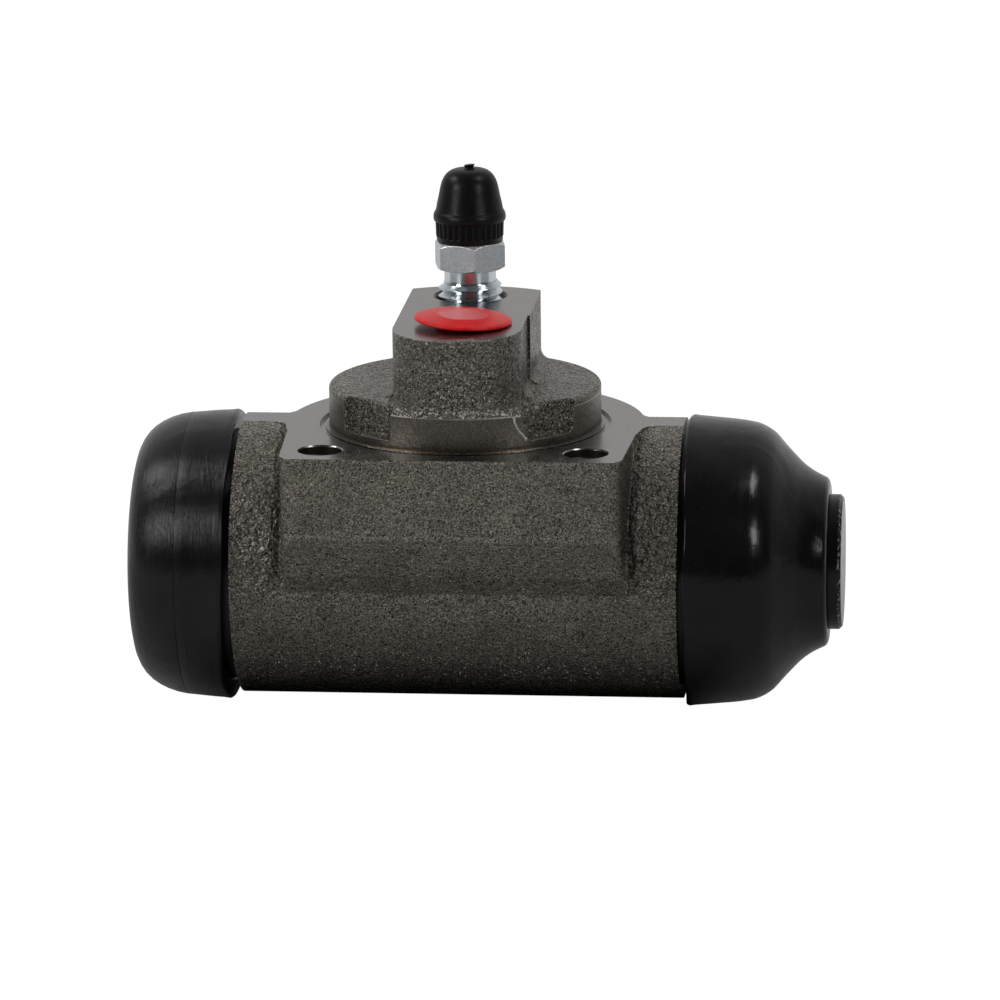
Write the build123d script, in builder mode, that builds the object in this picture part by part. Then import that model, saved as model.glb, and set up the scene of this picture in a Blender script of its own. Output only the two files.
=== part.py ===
from build123d import *
from math import cos, radians, sin, sqrt
import os

os.makedirs("parts", exist_ok=True)

# Drum brake wheel cylinder, cast iron, two opposed pistons.
# Millimetres. X runs along the bore, +Z is the side that goes through the backing plate,
# the origin is the pilot axis where it crosses the mounting face.

# bore and barrel
mid_x = -0.4            # middle of the bore, along X
bore_y = 1.7            # bore axis behind the pilot axis
bore_r = 14.29          # 1 1/8 inch bore
bore_mouth = 1.0        # chamfer at each end of the bore
barrel_wall = 7.06
barrel_r = bore_r + barrel_wall
barrel_over = 0.15      # the mounting face is milled this far into the round of the barrel
cast_lift = 0.3         # the cast outside sits this much above the bore axis
cast_z = barrel_over - barrel_r
bore_z = cast_z - cast_lift

# pilot
pilot_wall = 6.31       # wider than the bore by this, so that both drillings reach the bore
pilot_r = bore_r + pilot_wall
pilot_h = 6.3
pilot_edge = 0.6
lobe_chamfer = 1.1      # the turned front lobe ends this much lower
moat_lip = 0.55         # shallow relief ring, with a narrow lip left inside it
moat_w = 0.95
moat_depth = 0.5
moat_in_r = pilot_r + moat_lip
moat_out_r = moat_in_r + moat_w
pocket_floor = 1.3
pocket_reach = 1.9      # each pocket runs out this far past the relief ring
pocket_deep = 2.4       # how far it cuts into the pilot, deep side and shallow side
pocket_shallow = 1.3
pocket_lean = 0.4       # its back wall leans

# tapped mounting holes, just outside the pilot
bolt_x = pilot_r - 0.8
bolt_y = 1.2 - pilot_r
bolt_hole_r = 3.25      # taken at the inner diameter of the thread
bolt_hole_depth = 13.0
bolt_hole_edge = 0.2
bolt_tip = 1.5          # cone left by the drill

# mounting flange and the block under it
flange_past = 6.6       # flange edge outside the pilot
flange_r = pilot_r + flange_past
flange_t = 8.0          # at the back, away from the bolts
block_side = 5.6        # metal outside the bolt axis, to the side and in front
block_nose = 5.9
block_x = bolt_x + block_side
block_front = block_nose - bolt_y
block_root_in = 0.7     # the block meets the flange circle just inside its widest point
block_root_x = flange_r - block_root_in
block_root_y = -3.0
block_corner = 2.4
block_drop = 12.75      # height of the upright front face
block_crease = 3.0
foot_in = 0.45          # the sloping face runs out just inside the round of the barrel
foot_drop = 1.4
block_foot_y = bore_y - barrel_r + foot_in
block_foot_z = cast_z - foot_drop
ear_fillet = 3.0
ear_back = 0.3

# length of the barrel, and the turned ends that hold the boots
barrel_past = 6.4       # rough casting past the flange, each side
barrel_half = flange_r + barrel_past
groove_depth = 2.35
groove_r = barrel_r - groove_depth
groove_w = 3.0
collar_step = 1.05      # the turned collar is this much under the casting
collar_r = barrel_r - collar_step
collar_w = 1.6
collar_edge = 0.4
body_half = barrel_half + groove_w + collar_w

# boss that carries the inlet and the bleeder
boss_top = 16.85
boss_r = 9.7            # half width, and the radius of its front
boss_step = 0.7         # inside the pilot, so that the plate passes over it
boss_back_r = pilot_r - boss_step
boss_front = 9.3        # the centre of its front stands this far inside the pilot
boss_front_y = boss_front - boss_back_r
rear_wide = 0.35        # on its right side the rear part of the boss is a little wider
rear_x = boss_r + rear_wide
rear_y = -1.2
boss_fillet = 1.4

# inlet port
port_x = 0.3
port_back = 3.1         # behind the centre of the round front of the boss
port_y = boss_front_y + port_back
port_r = 4.6
port_depth = 12.0
port_edge = 0.4
seat_r = 3.0
passage_r = 1.5
passage_in = 2.5        # the passages run on this far into the bore

# bleeder hole and screw
bleed_x = -0.35
bleed_wall = 6.9        # from the back of the boss to the bleeder axis
bleed_y = boss_back_r - bleed_wall
bleed_hole_r = 5.0
bleed_mouth_r = 5.7
bleed_mouth = 0.7
bleed_depth = 11.65
bleed_floor = boss_top - bleed_depth
bleed_ledge = 1.0
bleed_seat_r = bleed_hole_r - bleed_ledge
bleed_passage_r = 1.3
thread_gap = 0.1        # stands for the thread play, on the radius
seat_gap = 0.05
tip_back = 0.35
tip_land = 0.25
tip_len = 1.6           # plain tip under the thread
thread_out = 1.25       # thread that shows above the boss
thread_lead = 0.4       # the last turn is shallower, in two steps
thread_crest = boss_top + thread_out
neck_r = 3.95
neck_drop = 0.5
neck_z = thread_crest + neck_drop
hex_flat = 10.0
hex_rise = 4.15
hex_height = 4.4
hex_bottom = boss_top + hex_rise
hex_top = hex_bottom + hex_height
hex_turn = 13.2         # one corner faces a little to the right
hex_edge = 0.45
nipple_r = 3.2
nipple_len = 8.2
nipple_top = hex_top + nipple_len
nipple_bead_r = 3.75
bead_down = 3.0         # hose bead under the end of the nipple
bead_half = 0.6
nipple_nose = 0.4
bleed_bore_r = 1.1
cross_hole_r = 0.8
cross_hole_up = 1.0

# bleeder cap
cap_gap = 0.05
cap_play = 0.3
cap_foot = 0.1
cap_bottom = hex_top + cap_foot
cap_wall_top = nipple_top + cap_play
cap_foot_r = 5.05
cap_band_r = 5.2
cap_band = 2.9          # ribbed band, from the bottom edge
cap_bead_r = 5.55
cap_bead_at = 3.7
cap_bead_top = 4.35
cap_neck_r = 4.95
cap_neck_at = 5.8
cap_dome_r = 4.52
cap_dome_at = 7.7
cap_round_r = 4.05
cap_round_at = 9.5
cap_crown_r = 2.3
cap_crown_at = 10.9
cap_top_at = 11.05
cap_nub_r = 0.83
cap_nub = 0.75
cap_edge = 0.15

# inlet plug
plug_r = 7.35
plug_rim = 1.0
plug_rise = 0.6
plug_flat_r = 3.35
plug_web = 0.8
plug_edge = 0.3
plug_stem_r = 4.1
plug_stem_wall = 1.0
plug_stem = 6.5
plug_stem_edge = 0.5
plug_tilt = 2.0         # pushed in slightly askew, its left side stands up
plug_gap = 0.05

# pistons
piston_gap = 0.04
piston_r = bore_r - piston_gap
piston_land = 14.0
nose_step = 4.04
nose_r = bore_r - nose_step
piston_len = 31.0
nose_disc = 2.0
boot_groove = 2.5
boot_groove_in = 1.35
boot_groove_r = nose_r - boot_groove_in
piston_edge = 0.5
right_out = 19.4        # how far each nose stands out of the body
left_out = 8.9
right_nose_end = body_half + right_out
left_nose_end = body_half + left_out

# cups, expanders, spring
cup_base = 3.0
cup_len = 7.5
cup_gap = 0.03
cup_relief = 0.26
cup_lip_edge = 0.6
cup_lip_r = bore_r - cup_gap
cup_root_r = cup_lip_r - cup_relief
cup_wall = 2.86
cup_inner_r = cup_lip_r - cup_wall
cup_mouth = 1.96
cup_mouth_r = cup_lip_r - cup_mouth
expander_t = 0.8
expander_rim = 2.2
expander_flare = 0.3
expander_r = cup_inner_r - expander_flare
expander_boss_r = 4.4
expander_boss = 2.0
spring_r = 5.6
wire_r = 0.7
spring_turns = 6
spring_gap = 0.02

# boots
boot_gap = 0.05
boot_lip = 0.85         # the lip stands this far over the casting
boot_r = barrel_r + boot_lip
boot_wall = 1.8
boot_over = 1.55        # from the end of the rough casting to the lip
boot_edge = 0.35
shoulder = 10.45        # right boot: from the lip to its shoulder
shoulder_in = 0.5
shoulder_r = barrel_r - shoulder_in
shoulder_round = 4.0
bead = 3.6              # right boot: length of the bead at its mouth
bead_up = 4.15
bead_r = nose_r + bead_up
bead_tip_up = 2.45
bead_tip_r = nose_r + bead_tip_up
bead_round = 1.3
corner_at = 4.95        # left boot: from the lip to the start of its rounded corner
corner_long = 9.67      # that corner is a quarter of an ellipse
corner_deep = 6.75
corner_over = 0.39
corner_rise = barrel_r + corner_over - corner_deep    # its centre, from the bore axis
fold_up = 0.55
fold_r = nose_r + fold_up     # left boot: its mouth, folded in around the piston nose

bore_axis = Axis((mid_x, bore_y, bore_z), (1, 0, 0))
right_side = Plane(origin=(mid_x, bore_y, bore_z), x_dir=(1, 0, 0), z_dir=(0, -1, 0))
left_side = Plane(origin=(mid_x, bore_y, bore_z), x_dir=(-1, 0, 0), z_dir=(0, 1, 0))
bleed_axis = Axis((bleed_x, bleed_y, 0), (0, 0, 1))
bleed_section = Plane(origin=(bleed_x, bleed_y, 0), x_dir=(1, 0, 0), z_dir=(0, -1, 0))


def bore_top(y):
    """Height of the bore wall above the bore axis at this place along Y, as a Z value."""
    return bore_z + sqrt(bore_r**2 - (y - bore_y) ** 2)


def ring(angle, radius):
    """A point on the mounting face, the angle counted from the front toward +X."""
    return (radius * sin(radians(angle)), -radius * cos(radians(angle)))


def pocket(top_angles, bottom_angles, shallow):
    """A cast relief beside the front lobe of the pilot, wider at its top. Its four corners go
    out, in, in, out; shallow is how far it cuts into the pilot at the end away from the lobe."""
    outer = moat_out_r + pocket_reach
    deep = pilot_r - pocket_deep
    radii = (outer, deep, pilot_r - shallow, outer)
    low_radii = (outer, deep + pocket_lean, pilot_r - shallow + pocket_lean / 2, outer)
    with BuildPart() as cut:
        with BuildSketch(Plane.XY.offset(pocket_floor)):
            with BuildLine():
                Polyline(*[ring(a, r) for a, r in zip(bottom_angles, low_radii)], close=True)
            make_face()
        with BuildSketch(Plane.XY.offset(pilot_h + 1)):
            with BuildLine():
                Polyline(*[ring(a, r) for a, r in zip(top_angles, radii)], close=True)
            make_face()
        loft()
    return cut.part


# the flange as seen from above, with its two narrow ears on the barrel
ear_half = sqrt(barrel_r**2 - cast_z**2)
with BuildSketch() as flange_outline:
    Circle(flange_r)
    with BuildLine():
        Polyline(
            (-block_root_x, block_root_y),
            (-block_x, -block_front),
            (block_x, -block_front),
            (block_root_x, block_root_y),
            close=True,
        )
    make_face()
    front_corners = flange_outline.vertices().sort_by(Axis.Y)[:2]
    fillet(front_corners, radius=block_corner)
    with Locations((mid_x, bore_y)):
        Rectangle(2 * (barrel_half - ear_back), 2 * ear_half)
    inner_corners = flange_outline.vertices().filter_by(
        lambda v: abs(abs(v.Y - bore_y) - ear_half) < 0.01 and abs(v.X) < flange_r
    )
    fillet(inner_corners, radius=ear_fillet)

# the block and flange as seen from the side
with BuildSketch(Plane.YZ) as side_outline:
    with BuildLine():
        Polyline(
            (-block_front, 0),
            (-block_front, -block_drop),
            (block_foot_y, block_foot_z),
            (bore_y + barrel_r - 2, block_foot_z),
            (bore_y + barrel_r - 2, -block_drop - 0.5),
            (flange_r + 1, -flange_t),
            (flange_r + 1, 0),
            close=True,
        )
    make_face()
    crease = side_outline.vertices().sort_by_distance((-block_front, -block_drop))[0]
    fillet(crease, radius=block_crease)

pockets = [
    pocket((-25.3, -28.0, -56.0, -57.9), (-25.8, -28.5, -55.5, -57.4), pocket_shallow),
    pocket((26.0, 29.0, 58.0, 60.7), (32.0, 34.0, 56.5, 58.4), pocket_shallow - 0.2),
]

# pilot: turned outside, rough cast top, with the two reliefs
with BuildPart() as pilot:
    Cylinder(pilot_r, pilot_h, align=(Align.CENTER, Align.CENTER, Align.MIN))
    for cut in pockets:
        add(cut, mode=Mode.SUBTRACT)
    rims = pilot.edges().filter_by(GeomType.CIRCLE).group_by(Axis.Z)[-1]
    chamfer(rims.sort_by(Axis.Y)[0], length=lobe_chamfer)
    rims = pilot.edges().filter_by(GeomType.CIRCLE).group_by(Axis.Z)[-1]
    fillet(rims.filter_by(lambda e: e.radius > pilot_r - 0.1), radius=pilot_edge)

# the boss runs out into the top of the pilot
with BuildPart() as boss_foot:
    for way, half, y_from, y_to in (
        (-1, boss_r, boss_back_r, boss_front_y),
        (1, rear_x, boss_back_r, rear_y),
        (1, boss_r, rear_y, boss_front_y),
    ):
        with BuildSketch(Plane.XZ.offset(-y_from)):
            with BuildLine():
                Polyline(
                    (way * (half + boss_fillet), pilot_h),
                    (way * (half - boss_fillet), pilot_h),
                    (way * (half - boss_fillet), pilot_h + boss_fillet),
                    (way * half, pilot_h + boss_fillet),
                )
                CenterArc(
                    (way * (half + boss_fillet), pilot_h + boss_fillet), boss_fillet,
                    90 + way * 90, way * 90,
                )
            make_face()
        extrude(amount=y_from - y_to)
    with BuildSketch(Plane.XY.offset(pilot_h)):
        Circle(pilot_r - pilot_edge)
    extrude(amount=boss_fillet, mode=Mode.INTERSECT)
    for cut in pockets:
        add(cut, mode=Mode.SUBTRACT)

# cylinder body: one casting
with BuildPart() as cylinder_body:
    extrude(flange_outline.sketch, amount=-block_foot_z, dir=(0, 0, -1))
    extrude(side_outline.sketch, amount=2 * block_x, both=True, mode=Mode.INTERSECT)
    with Locations(Location((mid_x, bore_y, cast_z), (0, 90, 0))):
        Cylinder(barrel_r, 2 * barrel_half)
    # the face is milled flat right across the barrel
    with Locations((0, 0, pilot_h)):
        Box(4 * barrel_half, 4 * flange_r, 2 * pilot_h, mode=Mode.SUBTRACT)
    for side in (right_side, left_side):
        with BuildSketch(side):
            with BuildLine():
                Polyline(
                    (barrel_half - 2, 0),
                    (barrel_half - 2, groove_r),
                    (barrel_half + groove_w, groove_r),
                    (barrel_half + groove_w, collar_r - collar_edge),
                    (barrel_half + groove_w + collar_edge, collar_r),
                    (body_half - collar_edge, collar_r),
                    (body_half, collar_r - collar_edge),
                    (body_half, 0),
                    close=True,
                )
            make_face()
        revolve(axis=bore_axis)
    # relief ring, then pilot
    with BuildSketch():
        Circle(moat_out_r)
        Circle(moat_in_r, mode=Mode.SUBTRACT)
    extrude(amount=-moat_depth, mode=Mode.SUBTRACT)
    add(pilot.part)
    add(boss_foot.part)
    # boss: half round in front, cut to a circle about the pilot axis at the back
    with BuildSketch():
        with Locations((0, boss_front_y)):
            Circle(boss_r)
        with Locations((0, boss_front_y)):
            Rectangle(2 * boss_r, boss_back_r - boss_front_y, align=(Align.CENTER, Align.MIN))
        with Locations((0, rear_y)):
            Rectangle(rear_x, boss_back_r - rear_y, align=(Align.MIN, Align.MIN))
        Circle(boss_back_r, mode=Mode.INTERSECT)
    extrude(amount=boss_top)
    # bore
    for side in (right_side, left_side):
        with BuildSketch(side):
            with BuildLine():
                Polyline(
                    (-0.5, 0),
                    (-0.5, bore_r),
                    (body_half - bore_mouth, bore_r),
                    (body_half, bore_r + bore_mouth),
                    (body_half + 1, bore_r + bore_mouth),
                    (body_half + 1, 0),
                    close=True,
                )
            make_face()
        revolve(axis=bore_axis, mode=Mode.SUBTRACT)
    # inlet port with its flare seat, and the passage to the bore
    with BuildSketch(Plane.XZ.offset(-port_y)):
        with BuildLine():
            Polyline(
                (port_x, boss_top + 1),
                (port_x + port_r + port_edge, boss_top + 1),
                (port_x + port_r + port_edge, boss_top),
                (port_x + port_r, boss_top - port_edge),
                (port_x + port_r, boss_top - port_depth),
                (port_x + seat_r, boss_top - port_depth),
                (port_x + passage_r, boss_top - port_depth + (seat_r - passage_r)),
                (port_x + passage_r, bore_top(port_y) - passage_in),
                (port_x, bore_top(port_y) - passage_in),
                close=True,
            )
        make_face()
    revolve(axis=Axis((port_x, port_y, 0), (0, 0, 1)), mode=Mode.SUBTRACT)
    # bleeder hole with its cone seat, and the passage to the bore
    with BuildSketch(bleed_section):
        with BuildLine():
            Polyline(
                (0, boss_top + 1),
                (bleed_mouth_r, boss_top + 1),
                (bleed_mouth_r, boss_top),
                (bleed_hole_r, boss_top - bleed_mouth),
                (bleed_hole_r, bleed_floor),
                (bleed_seat_r, bleed_floor),
                (bleed_passage_r, bleed_floor - (bleed_seat_r - bleed_passage_r)),
                (bleed_passage_r, bore_top(bleed_y) - passage_in),
                (0, bore_top(bleed_y) - passage_in),
                close=True,
            )
        make_face()
    revolve(axis=bleed_axis, mode=Mode.SUBTRACT)
    # tapped mounting holes
    for x in (-bolt_x, bolt_x):
        with BuildSketch(Plane.XZ.offset(-bolt_y)):
            with BuildLine():
                Polyline(
                    (x, 1),
                    (x + bolt_hole_r + bolt_hole_edge, 1),
                    (x + bolt_hole_r + bolt_hole_edge, 0),
                    (x + bolt_hole_r, -bolt_hole_edge),
                    (x + bolt_hole_r, -bolt_hole_depth),
                    (x, -bolt_hole_depth - bolt_tip),
                    close=True,
                )
            make_face()
        revolve(axis=Axis((x, bolt_y, 0), (0, 0, 1)), mode=Mode.SUBTRACT)


def piston(side, end):
    """Land in the bore, nose with a groove for the boot; end is where its nose stops."""
    inner = end - piston_len
    groove_out = end - nose_disc
    groove_in = groove_out - boot_groove
    with BuildPart() as made:
        with BuildSketch(side):
            with BuildLine():
                Polyline(
                    (inner, 0),
                    (inner, piston_r - piston_edge),
                    (inner + piston_edge, piston_r),
                    (inner + piston_land - piston_edge, piston_r),
                    (inner + piston_land, piston_r - piston_edge),
                    (inner + piston_land, nose_r),
                    (groove_in, nose_r),
                    (groove_in, boot_groove_r),
                    (groove_out, boot_groove_r),
                    (groove_out, nose_r),
                    (end - piston_edge, nose_r),
                    (end, nose_r - piston_edge),
                    (end, 0),
                    close=True,
                )
            make_face()
        revolve(axis=bore_axis)
    return made.part


def cup(side, back):
    """Rubber cup, its flat back on the piston, its lips toward the middle."""
    with BuildPart() as made:
        with BuildSketch(side):
            with BuildLine():
                Polyline(
                    (back, 0),
                    (back, cup_root_r),
                    (back - cup_len + cup_lip_edge, cup_lip_r),
                    (back - cup_len, cup_lip_r - cup_lip_edge),
                    (back - cup_len, cup_mouth_r),
                    (back - cup_base, cup_inner_r),
                    (back - cup_base, 0),
                    close=True,
                )
            make_face()
        revolve(axis=bore_axis)
    return made.part


def expander(side, back):
    """Pressed steel cup that holds the seal lips out and centres the spring."""
    t = expander_t
    with BuildPart() as made:
        with BuildSketch(side):
            with BuildLine():
                Polyline(
                    (back, expander_r - expander_flare),
                    (back - expander_rim, expander_r),
                    (back - expander_rim, expander_r - t),
                    (back - t, expander_r - t - expander_flare),
                    (back - t, expander_boss_r),
                    (back - expander_boss, expander_boss_r),
                    (back - expander_boss, 0),
                    (back - expander_boss + t, 0),
                    (back - expander_boss + t, expander_boss_r - t),
                    (back, expander_boss_r - t),
                    close=True,
                )
            make_face()
        revolve(axis=bore_axis)
    return made.part


right_inner = right_nose_end - piston_len
left_inner = left_nose_end - piston_len
right_piston = piston(right_side, right_nose_end)
left_piston = piston(left_side, left_nose_end)
right_cup = cup(right_side, right_inner)
left_cup = cup(left_side, left_inner)
right_expander = expander(right_side, right_inner - cup_base)
left_expander = expander(left_side, left_inner - cup_base)

# return spring between the two expanders
spring_from = mid_x - left_inner + cup_base + expander_t + wire_r + spring_gap
spring_to = mid_x + right_inner - cup_base - expander_t - wire_r - spring_gap
spring_len = spring_to - spring_from
with BuildPart() as return_spring:
    with BuildLine() as coil:
        Helix(
            pitch=spring_len / spring_turns, height=spring_len, radius=spring_r,
            center=(spring_from, bore_y, bore_z), direction=(1, 0, 0),
        )
    with BuildSketch(Plane(origin=coil.line @ 0, z_dir=coil.line % 0)):
        Circle(wire_r)
    sweep()

# both boots hold the collar of the body the same way; points from the outside to the inside
lip_at = barrel_half + boot_over
boot_grip = [
    (lip_at + boot_edge, boot_r),
    (lip_at, boot_r - boot_edge),
    (lip_at, groove_r + boot_edge),
    (lip_at + boot_edge, groove_r),
    (barrel_half + groove_w, groove_r),
    (barrel_half + groove_w, collar_r),
    (body_half + boot_edge, collar_r),
]

# right boot, pushed out into a cone by its piston
nose_back = right_nose_end - nose_disc
bend = boot_wall * sqrt(2) - boot_wall
with BuildPart() as right_boot:
    with BuildSketch(right_side) as outline:
        with BuildLine():
            Polyline(
                (nose_back - bead, bead_r),
                (lip_at + shoulder, shoulder_r),
                *boot_grip,
                (lip_at + shoulder - bend, shoulder_r - boot_wall),
                (nose_back - bead - bend, bead_r - boot_wall),
                (nose_back - boot_groove + boot_gap, nose_r + bend),
                (nose_back - boot_groove + boot_gap, boot_groove_r + boot_gap),
                (nose_back - boot_gap, boot_groove_r + boot_gap),
                (nose_back - boot_gap, bead_tip_r - bead_round),
                (nose_back - boot_edge, bead_tip_r),
                close=True,
            )
        make_face()
        outer = outline.vertices().sort_by_distance((lip_at + shoulder, shoulder_r))[0]
        fillet(outer, radius=shoulder_round)
        waist = outline.vertices().sort_by_distance((nose_back - bead, bead_r))[0]
        fillet(waist, radius=shoulder_round / 2)
        tip = outline.vertices().sort_by_distance((nose_back - boot_edge, bead_tip_r))[0]
        fillet(tip, radius=bead_round)
    revolve(axis=bore_axis)

# left boot, folded in around the nose of its piston
left_nose_back = left_nose_end - nose_disc
corner_start = lip_at + corner_at
corner_end = corner_start + corner_long
inner_end = corner_end - boot_wall
with BuildPart() as left_boot:
    with BuildSketch(left_side):
        with BuildLine():
            Polyline(
                (corner_start, corner_rise + corner_deep),
                *boot_grip,
                (corner_start, corner_rise + corner_deep - boot_wall),
            )
            EllipticalCenterArc(
                (corner_start, corner_rise), corner_long - boot_wall, corner_deep - boot_wall,
                arc_size=90,
            )
            Polyline(
                (inner_end, corner_rise),
                (inner_end, fold_r + boot_wall),
                (left_nose_back - boot_groove + boot_gap, fold_r + boot_wall),
                (left_nose_back - boot_groove + boot_gap, boot_groove_r + boot_gap),
                (left_nose_back - boot_gap, boot_groove_r + boot_gap),
                (left_nose_back - boot_gap, fold_r),
                (corner_end - boot_edge, fold_r),
                (corner_end, fold_r + boot_edge),
                (corner_end, corner_rise),
            )
            EllipticalCenterArc((corner_start, corner_rise), corner_long, corner_deep, arc_size=90)
        make_face()
    revolve(axis=bore_axis)

# bleeder screw, with a hexagon and a hose nipple
hex_corner = hex_flat / sqrt(3)
with BuildPart() as hexagon:
    with BuildSketch(Plane(origin=(bleed_x, bleed_y, hex_bottom))):
        RegularPolygon(hex_flat / 2, 6, major_radius=False, rotation=hex_turn - 90)
    extrude(amount=hex_height)
    with BuildSketch(bleed_section):
        with BuildLine():
            Polyline(
                (0, hex_bottom),
                (hex_corner - 2 * hex_edge, hex_bottom),
                (hex_corner, hex_bottom + hex_edge),
                (hex_corner, hex_top - hex_edge),
                (hex_corner - 2 * hex_edge, hex_top),
                (0, hex_top),
                close=True,
            )
        make_face()
    revolve(axis=bleed_axis, mode=Mode.INTERSECT)

tip_top = bleed_floor - tip_back
tip_r = bleed_seat_r - seat_gap - tip_back
tip_low_r = bleed_passage_r + tip_land - seat_gap
tip_bottom = tip_top - (tip_r - tip_low_r)
thread_r = bleed_hole_r - thread_gap
thread_from = bleed_floor + tip_len
bead_z = nipple_top - bead_down
with BuildPart() as bleeder_screw:
    with BuildSketch(bleed_section):
        with BuildLine():
            Polyline(
                (0, tip_bottom),
                (tip_low_r, tip_bottom),
                (tip_r, tip_top),
                (tip_r, thread_from),
                (thread_r, thread_from + thread_r - tip_r),
                (thread_r, thread_crest - 2 * thread_lead),
                (thread_r - thread_lead, thread_crest - thread_lead),
                (thread_r - thread_lead, thread_crest),
                (neck_r, neck_z),
                (neck_r, hex_bottom),
                (neck_r, hex_top),
                (nipple_r, hex_top),
                (nipple_r, bead_z - bead_half),
                (nipple_bead_r, bead_z),
                (nipple_bead_r, bead_z + bead_half),
                (nipple_r - nipple_nose, nipple_top),
                (0, nipple_top),
                close=True,
            )
        make_face()
    revolve(axis=bleed_axis)
    add(hexagon.part)
    with Locations((bleed_x, bleed_y, nipple_top)):
        Cylinder(
            bleed_bore_r, nipple_top - tip_top - cross_hole_up,
            align=(Align.CENTER, Align.CENTER, Align.MAX), mode=Mode.SUBTRACT,
        )
    with Locations(Location((bleed_x, bleed_y, tip_top + cross_hole_up), (0, 90, 0))):
        Cylinder(cross_hole_r, 4 * tip_r, mode=Mode.SUBTRACT)

# bleeder cap, domed, with a ribbed band under its bead
with BuildPart() as bleeder_cap:
    with BuildSketch(bleed_section):
        with BuildLine():
            side_line = Spline(
                (cap_bead_r - cap_edge, cap_bottom + cap_bead_top),
                (cap_neck_r, cap_bottom + cap_neck_at),
                (cap_dome_r, cap_bottom + cap_dome_at),
                (cap_round_r, cap_bottom + cap_round_at),
                (cap_crown_r, cap_bottom + cap_crown_at),
                (cap_nub_r, cap_bottom + cap_top_at),
            )
            Polyline(
                side_line @ 1,
                (cap_nub_r, cap_bottom + cap_top_at + cap_nub),
                (0, cap_bottom + cap_top_at + cap_nub),
                (0, cap_wall_top),
                (nipple_r - nipple_nose / 2, cap_wall_top),
                (nipple_bead_r + cap_gap, cap_wall_top - nipple_nose * 2),
                (nipple_bead_r + cap_gap, cap_bottom),
                (cap_foot_r - cap_edge, cap_bottom),
                (cap_foot_r, cap_bottom + cap_edge),
                (cap_band_r, cap_bottom + cap_band),
                (cap_bead_r - cap_edge / 3, cap_bottom + (cap_band + cap_bead_at) / 2),
                (cap_bead_r, cap_bottom + cap_bead_at),
                side_line @ 0,
            )
        make_face()
    revolve(axis=bleed_axis)

# inlet plug, a soft push-in cover that keeps dirt out until the pipe is fitted
plug_seat = boss_top + plug_gap + plug_r * sin(radians(plug_tilt))
with BuildPart() as inlet_plug:
    with BuildSketch(Plane.XZ):
        with BuildLine():
            Polyline(
                (0, plug_web),
                (0, plug_rim + plug_rise),
                (plug_flat_r, plug_rim + plug_rise),
                (plug_r - plug_edge, plug_rim),
                (plug_r, plug_rim - plug_edge),
                (plug_r, plug_edge),
                (plug_r - plug_edge, 0),
                (plug_stem_r, 0),
                (plug_stem_r, plug_stem_edge - plug_stem),
                (plug_stem_r - plug_stem_edge, -plug_stem),
                (plug_stem_r - plug_stem_wall, -plug_stem),
                (plug_stem_r - plug_stem_wall, plug_web),
                close=True,
            )
        make_face()
    revolve(axis=Axis.Z)
plug_placed = inlet_plug.part.moved(Location((port_x, port_y, plug_seat), (0, plug_tilt, 0)))

made = {
    "cylinder_body": cylinder_body.part,
    "left_piston": left_piston,
    "right_piston": right_piston,
    "left_cup_seal": left_cup,
    "right_cup_seal": right_cup,
    "left_cup_expander": left_expander,
    "right_cup_expander": right_expander,
    "return_spring": return_spring.part,
    "left_boot": left_boot.part,
    "right_boot": right_boot.part,
    "bleeder_screw": bleeder_screw.part,
    "bleeder_cap": bleeder_cap.part,
    "inlet_plug": plug_placed,
}
for name, shape in made.items():
    shape.label = name
    export_step(shape, f"parts/{name}.step")
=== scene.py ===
"""Drum brake wheel cylinder: the visible finish of the part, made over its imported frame.

Every length here is in millimetres until it becomes a mesh. X runs along the bore, +Z is the side
that goes through the backing plate, and the origin is the pilot axis on the mounting face.
"""

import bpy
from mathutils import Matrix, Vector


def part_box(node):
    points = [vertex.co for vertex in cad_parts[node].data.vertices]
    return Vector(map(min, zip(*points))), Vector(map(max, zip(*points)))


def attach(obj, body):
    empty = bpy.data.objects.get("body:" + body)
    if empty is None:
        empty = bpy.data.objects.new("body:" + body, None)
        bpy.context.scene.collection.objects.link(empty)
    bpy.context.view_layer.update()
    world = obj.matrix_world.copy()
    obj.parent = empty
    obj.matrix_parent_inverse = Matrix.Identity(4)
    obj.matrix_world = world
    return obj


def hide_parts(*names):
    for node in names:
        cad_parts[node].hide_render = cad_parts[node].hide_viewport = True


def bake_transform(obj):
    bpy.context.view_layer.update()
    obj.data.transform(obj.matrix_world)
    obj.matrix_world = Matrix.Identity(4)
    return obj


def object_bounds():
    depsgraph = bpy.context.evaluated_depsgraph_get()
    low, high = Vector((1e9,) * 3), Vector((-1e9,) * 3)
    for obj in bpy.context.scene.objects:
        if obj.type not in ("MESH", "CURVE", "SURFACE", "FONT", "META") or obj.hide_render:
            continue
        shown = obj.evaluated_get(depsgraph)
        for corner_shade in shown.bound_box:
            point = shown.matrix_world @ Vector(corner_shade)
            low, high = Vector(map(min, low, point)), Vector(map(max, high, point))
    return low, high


bl_info = {
    "name": "Wheel Cylinder",
    "version": (1, 0, 0),
    "blender": (4, 5, 0),
    "location": "View3D > Sidebar > Wheel Cylinder",
    "description": "Finishes the castings, boots, bleeder and plug of a drum brake wheel cylinder",
    "category": "Object",
}

from math import cos, pi, radians, sin, tau
from types import SimpleNamespace

import bmesh
import bpy
from mathutils import Matrix, Vector

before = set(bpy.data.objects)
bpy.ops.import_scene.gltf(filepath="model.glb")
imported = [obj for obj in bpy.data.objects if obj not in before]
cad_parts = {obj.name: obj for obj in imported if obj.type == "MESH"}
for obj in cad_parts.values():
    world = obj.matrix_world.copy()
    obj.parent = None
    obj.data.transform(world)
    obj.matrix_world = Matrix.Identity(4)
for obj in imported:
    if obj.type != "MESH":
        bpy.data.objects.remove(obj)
cad_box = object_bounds()

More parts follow.
